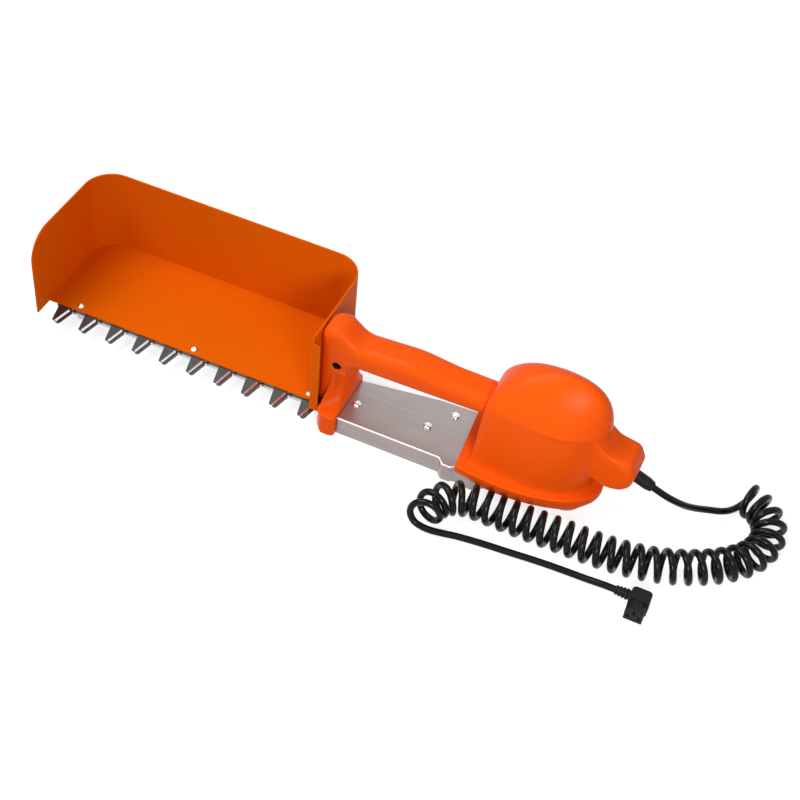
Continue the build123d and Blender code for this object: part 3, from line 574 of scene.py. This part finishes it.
def set_materials(mesh, materials, choose=None):
    """Give a mesh its materials, and each face the one that choose numbers."""
    mesh.materials.clear()
    for material in materials:
        mesh.materials.append(material)
    for polygon in mesh.polygons:
        polygon.material_index = choose(polygon) if choose else 0


def shade_by_angle(mesh, degrees):
    mesh.polygons.foreach_set("use_smooth", [True] * len(mesh.polygons))
    mesh.set_sharp_from_angle(angle=math.radians(degrees))
    mesh.update()


def cad_copy(name, node):
    """A node's shape as a merged mesh with whole flat faces."""
    work = bmesh.new()
    work.from_mesh(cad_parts[node].data)
    bmesh.ops.remove_doubles(work, verts=work.verts, dist=0.002 * MM)
    bmesh.ops.dissolve_limit(work, angle_limit=math.radians(0.6), verts=work.verts, edges=work.edges)
    mesh = bpy.data.meshes.new(name)
    work.to_mesh(mesh)
    work.free()
    return new_piece(name, mesh)


def dressed_copy(name, node, edge, materials, choose=None, rim=-1):
    """A node's shape with its edges rounded and its faces given materials; rim, when not -1, is the slot of
    the rounded edges, which takes a lighter copy as a painted highlight.
    """
    piece = cad_copy(name, node)
    set_materials(piece.data, materials, choose)
    piece.data.polygons.foreach_set("use_smooth", [True] * len(piece.data.polygons))
    rounding = piece.modifiers.new("Edges", "BEVEL")
    rounding.width = edge
    rounding.segments = 3
    rounding.limit_method = "ANGLE"
    rounding.angle_limit = math.radians(28)
    rounding.material = rim
    piece.modifiers.new("Normals", "WEIGHTED_NORMAL").weight = 100
    return applied(piece)


def closed_grid(rows):
    """Mesh from rings of equal length, with both ends capped."""
    count = len(rows[0])
    work = bmesh.new()
    rings = [[work.verts.new(Vector(p) * MM) for p in row] for row in rows]
    for low, high in zip(rings, rings[1:]):
        for i in range(count):
            j = (i + 1) % count
            work.faces.new((low[i], low[j], high[j], high[i]))
    work.faces.new(rings[0][::-1])
    work.faces.new(rings[-1])
    bmesh.ops.recalc_face_normals(work, faces=work.faces)
    return work


def prism(plan, levels):
    """Upright solid with one plan between two levels."""
    return closed_grid([[(x, y, z) for x, y in plan] for z in levels])


def round_bar(start, end, radius, count=24):
    """Solid round bar between two points."""
    start, end = Vector(start), Vector(end)
    side = (end - start).orthogonal().normalized()
    over = (end - start).normalized().cross(side)
    angles = [math.tau * i / count for i in range(count)]
    return closed_grid([[middle + radius * (side * math.cos(a) + over * math.sin(a)) for a in angles]
                        for middle in (start, end)])


def add_works(mesh, works):
    """Put further solids into a mesh."""
    whole = bmesh.new()
    whole.from_mesh(mesh)
    for work in works:
        part = bpy.data.meshes.new("part")
        work.to_mesh(part)
        work.free()
        whole.from_mesh(part)
        bpy.data.meshes.remove(part)
    whole.to_mesh(mesh)
    whole.free()


def join_works(name, works):
    mesh = bpy.data.meshes.new(name)
    add_works(mesh, works)
    return new_piece(name, mesh)


def dropped(piece):
    """Take a helper piece and its mesh away."""
    mesh = piece.data
    bpy.data.objects.remove(piece)
    bpy.data.meshes.remove(mesh)


def mesh_work(piece):
    """The piece's mesh as loose work, with the piece taken away."""
    work = bmesh.new()
    work.from_mesh(piece.data)
    dropped(piece)
    return work


def carved(piece, works):
    """The piece with some solids cut out of it."""
    cutter = join_works("cutter", works)
    cut = piece.modifiers.new("Cut", "BOOLEAN")
    cut.operation = "DIFFERENCE"
    cut.solver = "EXACT"
    cut.object = cutter
    applied(piece)
    dropped(cutter)
    return piece


def soften(piece, grid, passes):
    """One continuous moulded skin over the piece's solids, with rounded edges."""
    skin = piece.modifiers.new("Skin", "REMESH")
    skin.mode = "VOXEL"
    skin.voxel_size = grid
    skin.adaptivity = 0.0
    smooth = piece.modifiers.new("Soften", "SMOOTH")
    smooth.factor = 0.5
    smooth.iterations = passes
    return applied(piece)


def grown(name, places, tree, inputs):
    """Plain mesh that a node tree grows at some places."""
    mesh = bpy.data.meshes.new(name)
    mesh.from_pydata([tuple(c * MM for c in place) for place in places], [], [])
    piece = new_piece(name, mesh)
    growth = piece.modifiers.new("Growth", "NODES")
    growth.node_group = tree
    sockets = {item.name: item.identifier for item in tree.interface.items_tree if item.in_out == "INPUT"}
    for socket, value in inputs.items():
        growth[sockets[socket]] = value
    applied(piece)
    shade_by_angle(piece.data, 40)
    return piece


# Outlines

def between(start, end, share):
    return tuple(a + (b - a) * share for a, b in zip(start, end))


def ramped(value, start, end):
    """How far a value is on its way from start to end, from 0 to 1."""
    return min(max((value - start) / (end - start), 0.0), 1.0)


def hollow(share):
    """Quarter-round hollow, level at 0 and steep at 1."""
    return 1 - math.sqrt(1 - share ** 2)


def shifted(place, x, y):
    return place[0] + x, place[1] + y


def evened(points, count):
    """Closed outline with points at equal distances."""
    loop = points + points[:1]
    run = [0.0]
    for a, b in zip(loop, loop[1:]):
        run.append(run[-1] + math.dist(a, b))
    out = []
    k = 0
    for i in range(count):
        want = run[-1] * i / count
        while run[k + 1] < want:
            k += 1
        out.append(between(loop[k], loop[k + 1], (want - run[k]) / (run[k + 1] - run[k])))
    return out


def rounded_loop(points, count, softness, passes=14, stride=3):
    """Evened outline with its corners softened."""
    loop = evened(points, count)
    for _ in range(passes):
        loop = [tuple(b + softness * ((a + c) / 2 - b) for a, b, c in
                      zip(loop[i - stride], loop[i], loop[(i + stride) % count])) for i in range(count)]
    return loop


def flank(start, end, steps):
    """Arc from start, level there, to end."""
    along = start[0] - end[0]
    drop = start[1] - end[1]
    radius = (along ** 2 + drop ** 2) / (2 * abs(drop))
    sign = 1 if drop > 0 else -1
    out = []
    for i in range(steps + 1):
        x = along * i / steps
        out.append((start[0] - x, start[1] - sign * (radius - math.sqrt(radius ** 2 - x ** 2))))
    return out


def bow(low, nose_x, high, steps):
    """Arc from low to high, bulging to nose_x."""
    half = (high[1] - low[1]) / 2
    bulge = nose_x - low[0]
    radius = (half ** 2 + bulge ** 2) / (2 * bulge)
    heights = [-half + 2 * half * i / steps for i in range(steps + 1)]
    return [(nose_x - radius + math.sqrt(radius ** 2 - h ** 2), low[1] + half + h) for h in heights]


def filleted(corners, steps=8):
    """Closed outline through corners given as two coordinates and a radius."""
    out = []
    for i, (x, y, radius) in enumerate(corners):
        here = Vector((x, y))
        to_last = (Vector(corners[i - 1][:2]) - here).normalized()
        to_next = (Vector(corners[(i + 1) % len(corners)][:2]) - here).normalized()
        half = to_last.angle(to_next) / 2
        centre = here + (to_last + to_next).normalized() * (radius / math.sin(half))
        spoke = here + to_last * (radius / math.tan(half)) - centre
        turn = (math.pi - 2 * half) * (1 if to_last.cross(to_next) < 0 else -1)
        out += [tuple(centre + Matrix.Rotation(turn * k / steps, 2) @ spoke) for k in range(steps + 1)]
    return out


def inset_loop(points, inset):
    """Closed outline moved inwards."""
    out = []
    for i, point in enumerate(points):
        here = Vector(point)
        before = (here - Vector(points[i - 1])).normalized()
        after = (Vector(points[(i + 1) % len(points)]) - here).normalized()
        inward = Vector((-before.y - after.y, before.x + after.x))
        out.append(tuple(here + inward * (inset / (1 + before.dot(after)))))
    return out


# Chassis plate and handle

def make_tray(fold):
    """Folded tray, open below, with its top plate turned down all round."""
    outline = filleted(TRAY_CORNERS)
    rows = [(PLATE_TOP - PLATE_SHEET, PLATE_SHEET), (0.0, PLATE_SHEET), (0.0, 0.0)]
    rows += [(PLATE_TOP - fold * (1 - math.sin(a)), fold * (1 - math.cos(a)))
             for a in (math.radians(22.5 * i) for i in range(5))]
    return closed_grid([[(x, y, z) for x, y in inset_loop(outline, inset)] for z, inset in rows])


def make_ramp(steps=16):
    """Hollow ramp with a crease, from the handle's column down to its foot and the plate."""
    low, high = RAMP_Z
    rings = []
    for i in range(steps + 1):
        fall = 1 - i / steps
        left_x = between(RAMP_TOP[0], RAMP_FOOT[0], fall)[0]
        front = [between(top, foot, hollow(fall)) for top, foot in zip(RAMP_TOP, RAMP_FOOT)]
        front[0] = (left_x, front[0][1])
        back = RAMP_BACK + [(left_x, RAMP_LEFT_BACK_Y)]
        rings.append([(x, y, high - (high - low) * fall) for x, y in front + back])
    return closed_grid(rings)


# Motor housing

def bullet_loop(nose, widest, front, back, front_left, back_left):
    """Plan that is round to the right and nearly flat to the left."""
    right = [(widest + (nose - widest) * math.cos(a), MIDDLE_Y + (back if a > 0 else front) * math.sin(a))
             for a in (math.radians(-90 + 3 * i) for i in range(61))]
    back_side = flank((widest, MIDDLE_Y + back), back_left, 24)[1:]
    front_side = flank((widest, MIDDLE_Y - front), front_left, 24)[1:][::-1]
    return right + back_side + front_side


def dome_loop(z, count, inset=0.0):
    """Plan of the dome at a height: a drafted wall up to the crease and a vault above it."""
    rise = (min(z, DOME_CREASE_Z) - DOME_BASE_Z) / (DOME_CREASE_Z - DOME_BASE_Z)
    lift = max(z - DOME_CREASE_Z, 0.0) / (DOME_TOP_Z - DOME_CREASE_Z)
    shrink = {side: (1 - lift ** power) ** (1 / power) for side, power in VAULT_POWERS.items()}
    wall = (DOME_LEFT_X, DOME_NOSE_X, DOME_WIDEST_X, DOME_FRONT, DOME_BACK, DOME_LEFT_HALF)
    left, nose, widest, front, back, left_half = (base + gain * rise for base, gain in wall)
    spread = -inset if inset else FLARE * hollow(ramped(z, FLARE_TOP_Z, FLARE_LOW_Z))
    left = DOME_PEAK_X + shrink["left"] * (left - DOME_PEAK_X) - spread
    nose = DOME_PEAK_X + shrink["nose"] * (nose - DOME_PEAK_X) + spread
    widest = DOME_PEAK_X + shrink["left"] * (widest - DOME_PEAK_X)
    front_left = MIDDLE_Y - shrink["front"] * left_half * (1 - VAULT_SHOULDER * lift) - spread
    back_left = MIDDLE_Y + shrink["back"] * left_half + spread
    loop = bullet_loop(nose, widest, shrink["front"] * front + spread, shrink["back"] * back + spread,
                       (left, front_left), (left, back_left))
    loop = rounded_loop(loop, count, 0.02 + 0.5 * lift)
    ridge = 0.0 if inset else RIDGE_HEIGHT * math.exp(-((z - DOME_CREASE_Z) / RIDGE_WIDTH) ** 2)
    return [(x, y - ridge * math.exp(-((x - RIDGE_X) / RIDGE_LENGTH) ** 2) if y < MIDDLE_Y else y, z)
            for x, y in loop]


def make_dome(count=200):
    """Dome from rings that lie closer at the flare and at the crease."""
    flare = [DOME_BASE_Z, 24.0] + [FLARE_LOW_Z + 0.7 * i for i in range(25)]
    wall = [48.0 + 3.0 * i for i in range(16)]
    crease = [95.8 + 0.8 * i for i in range(14)]
    vault = [DOME_CREASE_Z + (DOME_TOP_Z - DOME_CREASE_Z) * math.sin(math.radians(a))
             for a in range(7, 88, 2)]
    return closed_grid([dome_loop(z, count) for z in flare + wall + crease + vault])


def make_cavity(shell, count=72):
    """Room for the motor and its gears inside the dome's wall."""
    return closed_grid([dome_loop(z, count, shell) for z in CAVITY_LEVELS])


def make_posts():
    """Posts that the housing's screws go up into."""
    low, high = POST_Z
    return [round_bar((x, y, low), (x, y, high), POST_RADIUS, 16) for x, y in HOUSING_POSTS]


def flange_loop(inset, count):
    """Base flange's plan: slanted left edge, bowed sides and a blunt nose."""
    front, back = shifted(FLANGE_FRONT, 0, inset), shifted(FLANGE_BACK, 0, -inset)
    corner_x, corner_y = (inset * way for way in FLANGE_CORNER_INWARD)
    front_right = shifted(FLANGE_FRONT_RIGHT, -inset, inset)
    back_right = shifted(FLANGE_BACK_RIGHT, -inset, -inset)
    loop = flank(front, shifted(FLANGE_SHOULDER, 0, inset), 20)
    loop += [shifted(place, corner_x, corner_y) for place in FLANGE_CORNER]
    loop += bow(front_right, FLANGE_NOSE_X - inset, back_right, 16)
    loop += flank(back, back_right, 20)[:-1][::-1]
    loop += flank(back, shifted(FLANGE_BACK_LEFT, inset, -inset), 24)[1:]
    loop += flank(front, shifted(FLANGE_FRONT_LEFT, inset, inset), 24)[1:][::-1]
    return rounded_loop(loop, count, 0.008)


def make_flange(count=300):
    """Flange with a leaning rim that reaches down over the tray along the front."""
    rings = [[(x, y, z) for x, y in flange_loop(inset, count)] for z, inset in FLANGE_RINGS]
    for i, (x, y, z) in enumerate(rings[0]):
        rim = ramped(x, *RIM_GROWS_X) * ramped(y, *RIM_GROWS_Y)
        rings[0][i] = (x, y + FLANGE_LEAN + RIM_LEAN * rim, z - RIM_DROP * rim)
    return closed_grid(rings)


def make_cord_boss(count=110):
    """Boss round the cord's sleeve, with a bevel round its front that is widest at its end."""
    loop = evened(filleted(BOSS_CORNERS), count)
    centre = Vector(BOSS_CENTRE)
    spokes = [Vector(place) - centre for place in loop]
    bevels = [BOSS_BEVEL + BOSS_END_BEVEL * ramped(x, *BOSS_BEVEL_GROWS_X) for x, _ in loop]

    def ring(insets, depths):
        edge = [centre + spoke * (1 - inset / spoke.length) for spoke, inset in zip(spokes, insets)]
        return [(place[0], y, place[1]) for place, y in zip(edge, depths)]

    rings = []
    for angle in (math.radians(degrees) for degrees in range(0, 91, 15)):
        across, along = 1 - math.sin(angle), 1 - math.cos(angle)
        rings.append(ring([bevel * across for bevel in bevels],
                          [BOSS_FRONT_Y + bevel * along for bevel in bevels]))
    for back, inset in BOSS_BACK_RINGS:
        rings.append(ring([inset] * count, [back] * count))
    return closed_grid(rings)


# Lead

def smooth_spline(name, points):
    """Curve of one smooth open spline, in metres, with millimetre points as its control points."""
    curve = bpy.data.curves.new(name, "CURVE")
    curve.dimensions = "3D"
    spline = curve.splines.new("NURBS")
    spline.points.add(len(points) - 1)
    for control, point in zip(spline.points, points):
        control.co = (point[0] * MM, point[1] * MM, point[2] * MM, 1.0)
    spline.order_u = 3
    spline.use_endpoint_u = True
    return curve


def points_on(curve):
    """Points of a smooth spline in millimetres, as Blender draws it."""
    curve.resolution_u = 24
    carrier = new_piece("route", curve)
    graph = bpy.context.evaluated_depsgraph_get()
    mesh = bpy.data.meshes.new_from_object(carrier.evaluated_get(graph))
    points = [vertex.co / MM for vertex in mesh.vertices]
    bpy.data.objects.remove(carrier)
    bpy.data.curves.remove(curve)
    bpy.data.meshes.remove(mesh)
    return points


class Curls:
    """Right-handed helix round the coil's middle line."""

    def __init__(self, radius, count):
        self.radius = radius
        self.count = count
        self.line = points_on(smooth_spline("coil route", [(x, y, WIRE_Z + radius) for x, y in COIL_ROUTE]))
        self.run = [0.0]
        for a, b in zip(self.line, self.line[1:]):
            self.run.append(self.run[-1] + (b - a).length)

    def frame_at(self, turns):
        """Place on the middle line after some turns, with the ways ahead and to the left."""
        distance = self.run[-1] * turns / self.count
        k = 0
        while k < len(self.run) - 2 and self.run[k + 1] < distance:
            k += 1
        share = (distance - self.run[k]) / (self.run[k + 1] - self.run[k])
        before = self.line[max(k - 1, 0)]
        after = self.line[min(k + 2, len(self.line) - 1)]
        ahead = (after - before).normalized()
        return self.line[k].lerp(self.line[k + 1], share), ahead, Vector((-ahead.y, ahead.x, 0))

    def point(self, turns, reach=1.0):
        middle, _, left = self.frame_at(turns)
        return middle + left * (reach * self.radius * math.sin(math.tau * turns)) \
            - Vector((0, 0, 1)) * (reach * self.radius * math.cos(math.tau * turns))

    def direction(self, turns):
        """Along the wire at a low point of the helix."""
        _, ahead, left = self.frame_at(turns)
        return (ahead * self.run[-1] / self.count + left * (math.tau * self.radius)).normalized()


def lead_route(sizes):
    """Control points of the whole lead: from the sleeve, through the curls, to the plug."""
    per_turn = 16
    spline_shrink = 0.981  # a spline's radius, over that of 16 control points a turn
    straight, approach, approach_z = 6.6, 17.0, 10
    curls = Curls(sizes.curl_radius / MM, sizes.curls)
    first = curls.point(0) - curls.direction(0) * straight
    last = curls.point(curls.count) + curls.direction(curls.count) * straight
    before_first = first - curls.direction(0) * approach
    before_first.z = approach_z
    lead = [SLEEVE_END - SLEEVE_AXIS * 8.0, SLEEVE_END, SLEEVE_END + SLEEVE_AXIS * 15.0]
    lead += [Vector(place) for place in LEAD_ROUTE] + [before_first, first]
    helix = [curls.point(i / per_turn, 1 / spline_shrink) for i in range(1, per_turn * curls.count)]
    for point in helix:
        point.z = max(point.z, WIRE_Z)
    tail = [Vector((x, y, WIRE_Z)) for x, y in TAIL_ROUTE] + [Vector(TAIL_RISE)]
    tail += [RELIEF_START + Vector((x, 0, 0)) for x in (-11, 0, 6)]
    return lead + helix + [last] + tail


# Operators

class CUTTER_OT_scoop(bpy.types.Operator):
    """Scoop sheets with rounded cut edges, painted lighter as a highlight"""

    bl_idname = "cutter.scoop"
    bl_label = "Scoop sheets"

    def execute(self, context):
        sizes, colours = context.scene.cutter_sizes, context.scene.cutter_colours
        paints = [scoop_paint(colours), scoop_paint(colours, True)]
        for node in ("scoop_wall", "scoop_floor"):
            # The rounded cut edges take the lighter paint in slot 1: a painted highlight
            piece = dressed_copy(node + "_sheet", node, sizes.sheet_edge, paints, rim=1)
            settle(piece, "head", [node])
        return {"FINISHED"}


class CUTTER_OT_blades(bpy.types.Operator):
    """Two toothed blades with bright ground edges, and the bar that holds them"""

    bl_idname = "cutter.blades"
    bl_label = "Blades and bar"

    def execute(self, context):
        sizes, colours = context.scene.cutter_sizes, context.scene.cutter_colours
        steels = [blade_steel(colours), ground_edge(colours)]
        for node, body in (("upper_blade", "upper_cutter"), ("lower_blade", "lower_cutter")):
            piece = dressed_copy(node + "_steel", node, sizes.blade_edge, steels, self.is_ground)
            settle(piece, body, [node])
        # Bright steel lenses at the lower teeth's roots are painted highlights standing in for glints
        x, y, z = FIRST_GLINT
        glints = grown("lower_blade_glints", [(x + TOOTH_PITCH * i, y, z) for i in range(TEETH)], glint_tree(),
                      {"Radius": sizes.glint_spot, "Material": ground_edge(colours)})
        settle(glints, "lower_cutter", [])
        bar = dressed_copy("retaining_bar_steel", "retaining_bar", sizes.blade_edge * 2,
                           [plain_steel(colours)])
        settle(bar, "head", ["retaining_bar"])
        return {"FINISHED"}

    def is_ground(self, face):
        """1 for the slanted faces of the teeth."""
        return 1 if 0.12 < abs(face.normal.z) < 0.97 else 0


class CUTTER_OT_plate(bpy.types.Operator):
    """Folded chassis plate and the cover under it"""

    bl_idname = "cutter.plate"
    bl_label = "Chassis plate"

    def execute(self, context):
        sizes, colours = context.scene.cutter_sizes, context.scene.cutter_colours
        finishes = [plate_satin(colours), plate_satin(colours, "edge"), plate_satin(colours, "wall")]
        tray = join_works("chassis_tray", [make_tray(sizes.plate_fold / MM)])
        crank_hole = round_bar((CRANK_X, MIDDLE_Y, PLATE_TOP - PLATE_SHEET - 1),
                               (CRANK_X, MIDDLE_Y, PLATE_TOP + 1), CRANK_HOLE_RADIUS, 32)
        carved(tray, [prism(BLADE_MOUTH, BLADE_MOUTH_Z), crank_hole])
        # Folds take the lighter copy as a painted highlight and upright walls the darker copy as painted
        # shade
        set_materials(tray.data, finishes, self.tray_shade_and_highlight)
        shade_by_angle(tray.data, 40)
        level = tray.modifiers.new("Normals", "WEIGHTED_NORMAL")
        level.weight = 100
        level.keep_sharp = True
        applied(tray)
        settle(tray, "head", ["chassis_plate"])
        # The cover's rounded edges take the lighter plate copy: a painted highlight
        cover = dressed_copy("chassis_cover", "bottom_cover", sizes.plate_edge, finishes, rim=1)
        for vertex in cover.data.vertices:
            if vertex.co.y < COVER_FRONT_Y * MM:
                vertex.co.y += COVER_STEP * ramped(vertex.co.x / MM, *COVER_STEP_X) * MM
        settle(cover, "head", ["bottom_cover"])
        return {"FINISHED"}

    def tray_shade_and_highlight(self, face):
        """2 for the upright walls, painted darker as shade; 1 for the folds, painted lighter as a highlight;
        0 for the flat top.
        """
        if abs(face.normal.z) < 0.1:
            return 2
        return 1 if 0.1 < face.normal.z < 0.99 else 0


class CUTTER_OT_screws(bpy.types.Operator):
    """Pan head screws with cross recesses on the plate and the scoop"""

    bl_idname = "cutter.screws"
    bl_label = "Screws"

    def execute(self, context):
        sizes, colours = context.scene.cutter_sizes, context.scene.cutter_colours
        # Node, places, head radius, head height, shank length and seed
        groups = (
            ("plate_screws", PLATE_SCREWS, 4.2, 2.6, 8.0, 5),
            ("blade_screws", BLADE_SCREWS, 3.6, 2.4, 14.6, 2),
        )
        for node, places, radius, height, shank, seed in groups:
            piece = grown(node + "_bright", places, screw_tree(), {
                "Head Radius": radius * MM, "Head Height": height * MM, "Shank Radius": SHANK_RADIUS * MM,
                "Shank Length": shank * MM, "Recess Width": sizes.recess_width,
                "Seed": seed, "Material": bright_steel(colours)})
            settle(piece, "head", [node])
        return {"FINISHED"}


class CUTTER_OT_handle(bpy.types.Operator):
    """Moulded handle with soft edges"""

    bl_idname = "cutter.handle"
    bl_label = "Handle"

    def execute(self, context):
        sizes, colours = context.scene.cutter_sizes, context.scene.cutter_colours
        piece = cad_copy("handle_moulding", "handle")
        # The grip's end reaches on through the housing's wall
        for vertex in piece.data.vertices:
            if vertex.co.x > GRIP_END_X * MM:
                vertex.co.x += sizes.housing_shell
        carved(piece, [prism(COLUMN_CUT, COLUMN_CUT_Z)])
        add_works(piece.data, [make_ramp()])
        soften(piece, sizes.moulding_grid, sizes.handle_soften)
        x, y, z = HANDLE_HOLE
        carved(piece, [round_bar((x, y - 2, z), (x, y + HANDLE_HOLE_DEPTH, z), HANDLE_HOLE_RADIUS)])
        shade_by_angle(piece.data, 50)
        # The screw hole's bore takes the black plug plastic: painted shade deep in the hole
        set_materials(piece.data, [orange_moulding(colours), plug_plastic(colours)], self.in_shaded_bore)
        settle(piece, "head", ["handle"])
        return {"FINISHED"}

    def in_shaded_bore(self, face):
        """1 for the bore of the screw hole, painted black as the shade deep inside it."""
        x, y, z = HANDLE_HOLE
        place = face.center / MM
        near = math.hypot(place.x - x, place.z - z) < HANDLE_HOLE_RADIUS + 0.1
        return 1 if near and y + 1 < place.y < y + HANDLE_HOLE_DEPTH + 0.5 else 0


class CUTTER_OT_housing(bpy.types.Operator):
    """Motor housing: flange, dome and cord boss in one hollow moulding"""

    bl_idname = "cutter.housing"
    bl_label = "Motor housing"

    def execute(self, context):
        sizes, colours = context.scene.cutter_sizes, context.scene.cutter_colours
        shell = sizes.housing_shell / MM
        piece = join_works("motor_housing_moulding", [make_dome(), make_cord_boss()])
        soften(piece, sizes.moulding_grid, sizes.housing_soften)
        carved(piece, [make_cavity(shell), round_bar(SLEEVE_START, SLEEVE_END, SLEEVE_HOLE_RADIUS, 32)])
        flange = carved(join_works("flange", [make_flange()]), [make_cavity(shell)])
        add_works(piece.data, [mesh_work(flange)] + make_posts())
        shade_by_angle(piece.data, 40)
        # The flange's level faces stay flat beside its rounded edge
        for polygon in piece.data.polygons:
            if abs(polygon.normal.z) > 0.9999 and polygon.center.z < FLANGE_CLEAR_Z * MM:
                polygon.use_smooth = False
        set_materials(piece.data, [orange_moulding(colours)])
        settle(piece, "head", ["motor_housing"])
        return {"FINISHED"}


class CUTTER_OT_lead(bpy.types.Operator):
    """Curly lead on one spline, with its tapered sleeve, ribbed relief and plug"""

    bl_idname = "cutter.lead"
    bl_label = "Lead and plug"

    def execute(self, context):
        sizes, colours = context.scene.cutter_sizes, context.scene.cutter_colours
        black = plug_plastic(colours)
        sleeve = dressed_copy("cord_sleeve_taper", "cord_sleeve", sizes.sleeve_edge, [black])
        settle(sleeve, "head", ["cord_sleeve"])
        relief = grown("plug_relief_ribs", [tuple(RELIEF_START)], rib_tree(), {"Material": black})
        settle(relief, "head", ["plug_relief"])
        plug = dressed_copy("plug_block", "plug_body", sizes.plug_edge, [black])
        settle(plug, "head", ["plug_body"])
        curve = smooth_spline("curly_lead", lead_route(sizes))
        curve.bevel_depth = sizes.wire_radius
        curve.bevel_resolution = 4
        curve.resolution_u = 3
        curve.use_fill_caps = True
        curve.materials.append(lead_jacket(colours))
        lead = new_piece("curly_lead", curve)
        settle(lead, "head", ["cord_lead", "curly_cord", "cord_tail"])
        return {"FINISHED"}


class CUTTER_OT_inside(bpy.types.Operator):
    """Finishes on the drive, the motor and the hidden fasteners"""

    bl_idname = "cutter.inside"
    bl_label = "Drive and fasteners"

    def execute(self, context):
        colours = context.scene.cutter_colours
        finishes = {
            plain_steel(colours): ["blade_nuts", "bar_spacer", "bar_nut", "cover_pillars", "crank_bearing",
                                   "crankshaft", "drive_gear", "gear_nut", "pinion", "motor_shaft",
                                   "motor_can", "motor_pillars"],
            plate_satin(colours): ["bearing_carrier", "motor_plate"],
            bright_steel(colours): ["cover_screws", "wall_screws", "handle_screws", "housing_screws",
                                    "pillar_screws", "motor_screws"],
            bronze_metal(colours): ["lower_bushing", "plug_contacts"],
        }
        for material, nodes in finishes.items():
            for node in nodes:
                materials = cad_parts[node].data.materials
                materials.clear()
                materials.append(material)
        return {"FINISHED"}


class CUTTER_OT_stage(bpy.types.Operator):
    """Pale floor, soft light and the camera"""

    bl_idname = "cutter.stage"
    bl_label = "Stage"

    def execute(self, context):
        scene = context.scene
        scene.view_settings.view_transform = "Standard"
        self.lay_floor(scene.cutter_colours)
        self.light_world(scene)
        self.add_light("key", place=(-1.0, -0.3, 1.65), target=(0.0, 0.0, 0.03), size=1.2, power=25.0)
        self.add_light("front", place=(0.40, -0.58, 0.48), target=(0.18, -0.02, 0.06), size=0.2, power=2.95)
        camera = new_piece("camera", bpy.data.cameras.new("camera"))
        camera.data.lens = CAMERA_LENS
        camera.data.sensor_width = CAMERA_SENSOR
        turn = Euler([math.radians(degrees) for degrees in CAMERA_TURN])
        camera.matrix_world = Matrix.LocRotScale(Vector(CAMERA_PLACE), turn, None)
        scene.camera = camera
        return {"FINISHED"}

    def lay_floor(self, colours):
        mesh = bpy.data.meshes.new("floor")
        corners = ((-1, -1), (1, -1), (1, 1), (-1, 1))
        mesh.from_pydata([(FLOOR_REACH * x, FLOOR_REACH * y, FLOOR_Z) for x, y in corners], [],
                         [(0, 1, 2, 3)])
        mesh.materials.append(self.floor_material(colours))
        new_piece("floor", mesh)

    def seen_directly(self, tree):
        """1 for rays from the camera, from gloss and through glass."""
        seen = add_node(tree, "ShaderNodeLightPath").outputs
        total = seen["Is Camera Ray"]
        for kind in ("Is Glossy Ray", "Is Transmission Ray"):
            total = maths(tree, "MAXIMUM", total, seen[kind])
        return total

    def floor_material(self, colours):
        """Matt floor that keeps its shadows and shows nearly white."""
        material = bpy.data.materials.new("Floor")
        tree = emptied_tree(material)
        matt = add_node(tree, "ShaderNodeBsdfDiffuse", {"Color": scaled(colours.floor, 1.0)})
        strength = add_node(tree, "ShaderNodeMapRange", {"Value": self.seen_directly(tree), "To Max": 0.76})
        glow = add_node(tree, "ShaderNodeEmission", {"Strength": strength.outputs["Result"]})
        both = add_node(tree, "ShaderNodeAddShader", {0: matt.outputs[0], 1: glow.outputs[0]})
        add_node(tree, "ShaderNodeOutputMaterial", {"Surface": both.outputs[0]})
        return material

    def light_world(self, scene):
        """Even light from all round, which shows as white."""
        scene.world = bpy.data.worlds.new("studio")
        tree = emptied_tree(scene.world)
        strength = add_node(tree, "ShaderNodeMapRange",
                            {"Value": self.seen_directly(tree), "To Min": 0.34, "To Max": 1.0})
        glow = add_node(tree, "ShaderNodeBackground",
                        {"Color": (1, 1, 1, 1), "Strength": strength.outputs["Result"]})
        add_node(tree, "ShaderNodeOutputWorld", {"Surface": glow.outputs[0]})

    def add_light(self, name, place, target, size, power):
        data = bpy.data.lights.new(name, "AREA")
        data.shape = "SQUARE"
        data.size = size
        data.energy = power
        lamp = new_piece(name, data)
        lamp.location = place
        lamp.rotation_euler = (Vector(target) - Vector(place)).to_track_quat("-Z", "Y").to_euler()
        lamp.visible_camera = False


class CUTTER_PT_panel(bpy.types.Panel):
    """Shows the sizes, the colours and a button for each step of the cutter head"""

    bl_idname = "CUTTER_PT_panel"
    bl_label = "Tea cutter head"
    bl_space_type = "VIEW_3D"
    bl_region_type = "UI"
    bl_category = "Tea cutter"

    def draw(self, context):
        for group in (context.scene.cutter_sizes, context.scene.cutter_colours):
            column = self.layout.column(align=True)
            for name in group.__annotations__:
                column.prop(group, name)
        for step in STEPS:
            self.layout.operator(step.bl_idname)


STEPS = (
    CUTTER_OT_stage, CUTTER_OT_lead, CUTTER_OT_scoop, CUTTER_OT_blades, CUTTER_OT_plate, CUTTER_OT_screws,
    CUTTER_OT_handle, CUTTER_OT_housing, CUTTER_OT_inside,
)
CLASSES = (CutterSizes, CutterColours, *STEPS, CUTTER_PT_panel)


def register():
    for cls in CLASSES:
        bpy.utils.register_class(cls)
    bpy.types.Scene.cutter_sizes = PointerProperty(type=CutterSizes)
    bpy.types.Scene.cutter_colours = PointerProperty(type=CutterColours)


def unregister():
    del bpy.types.Scene.cutter_colours
    del bpy.types.Scene.cutter_sizes
    for cls in reversed(CLASSES):
        bpy.utils.unregister_class(cls)


def main():
    register()
    for step in STEPS:
        family, name = step.bl_idname.split(".")
        getattr(getattr(bpy.ops, family), name)()


if __name__ == "__main__":
    main()
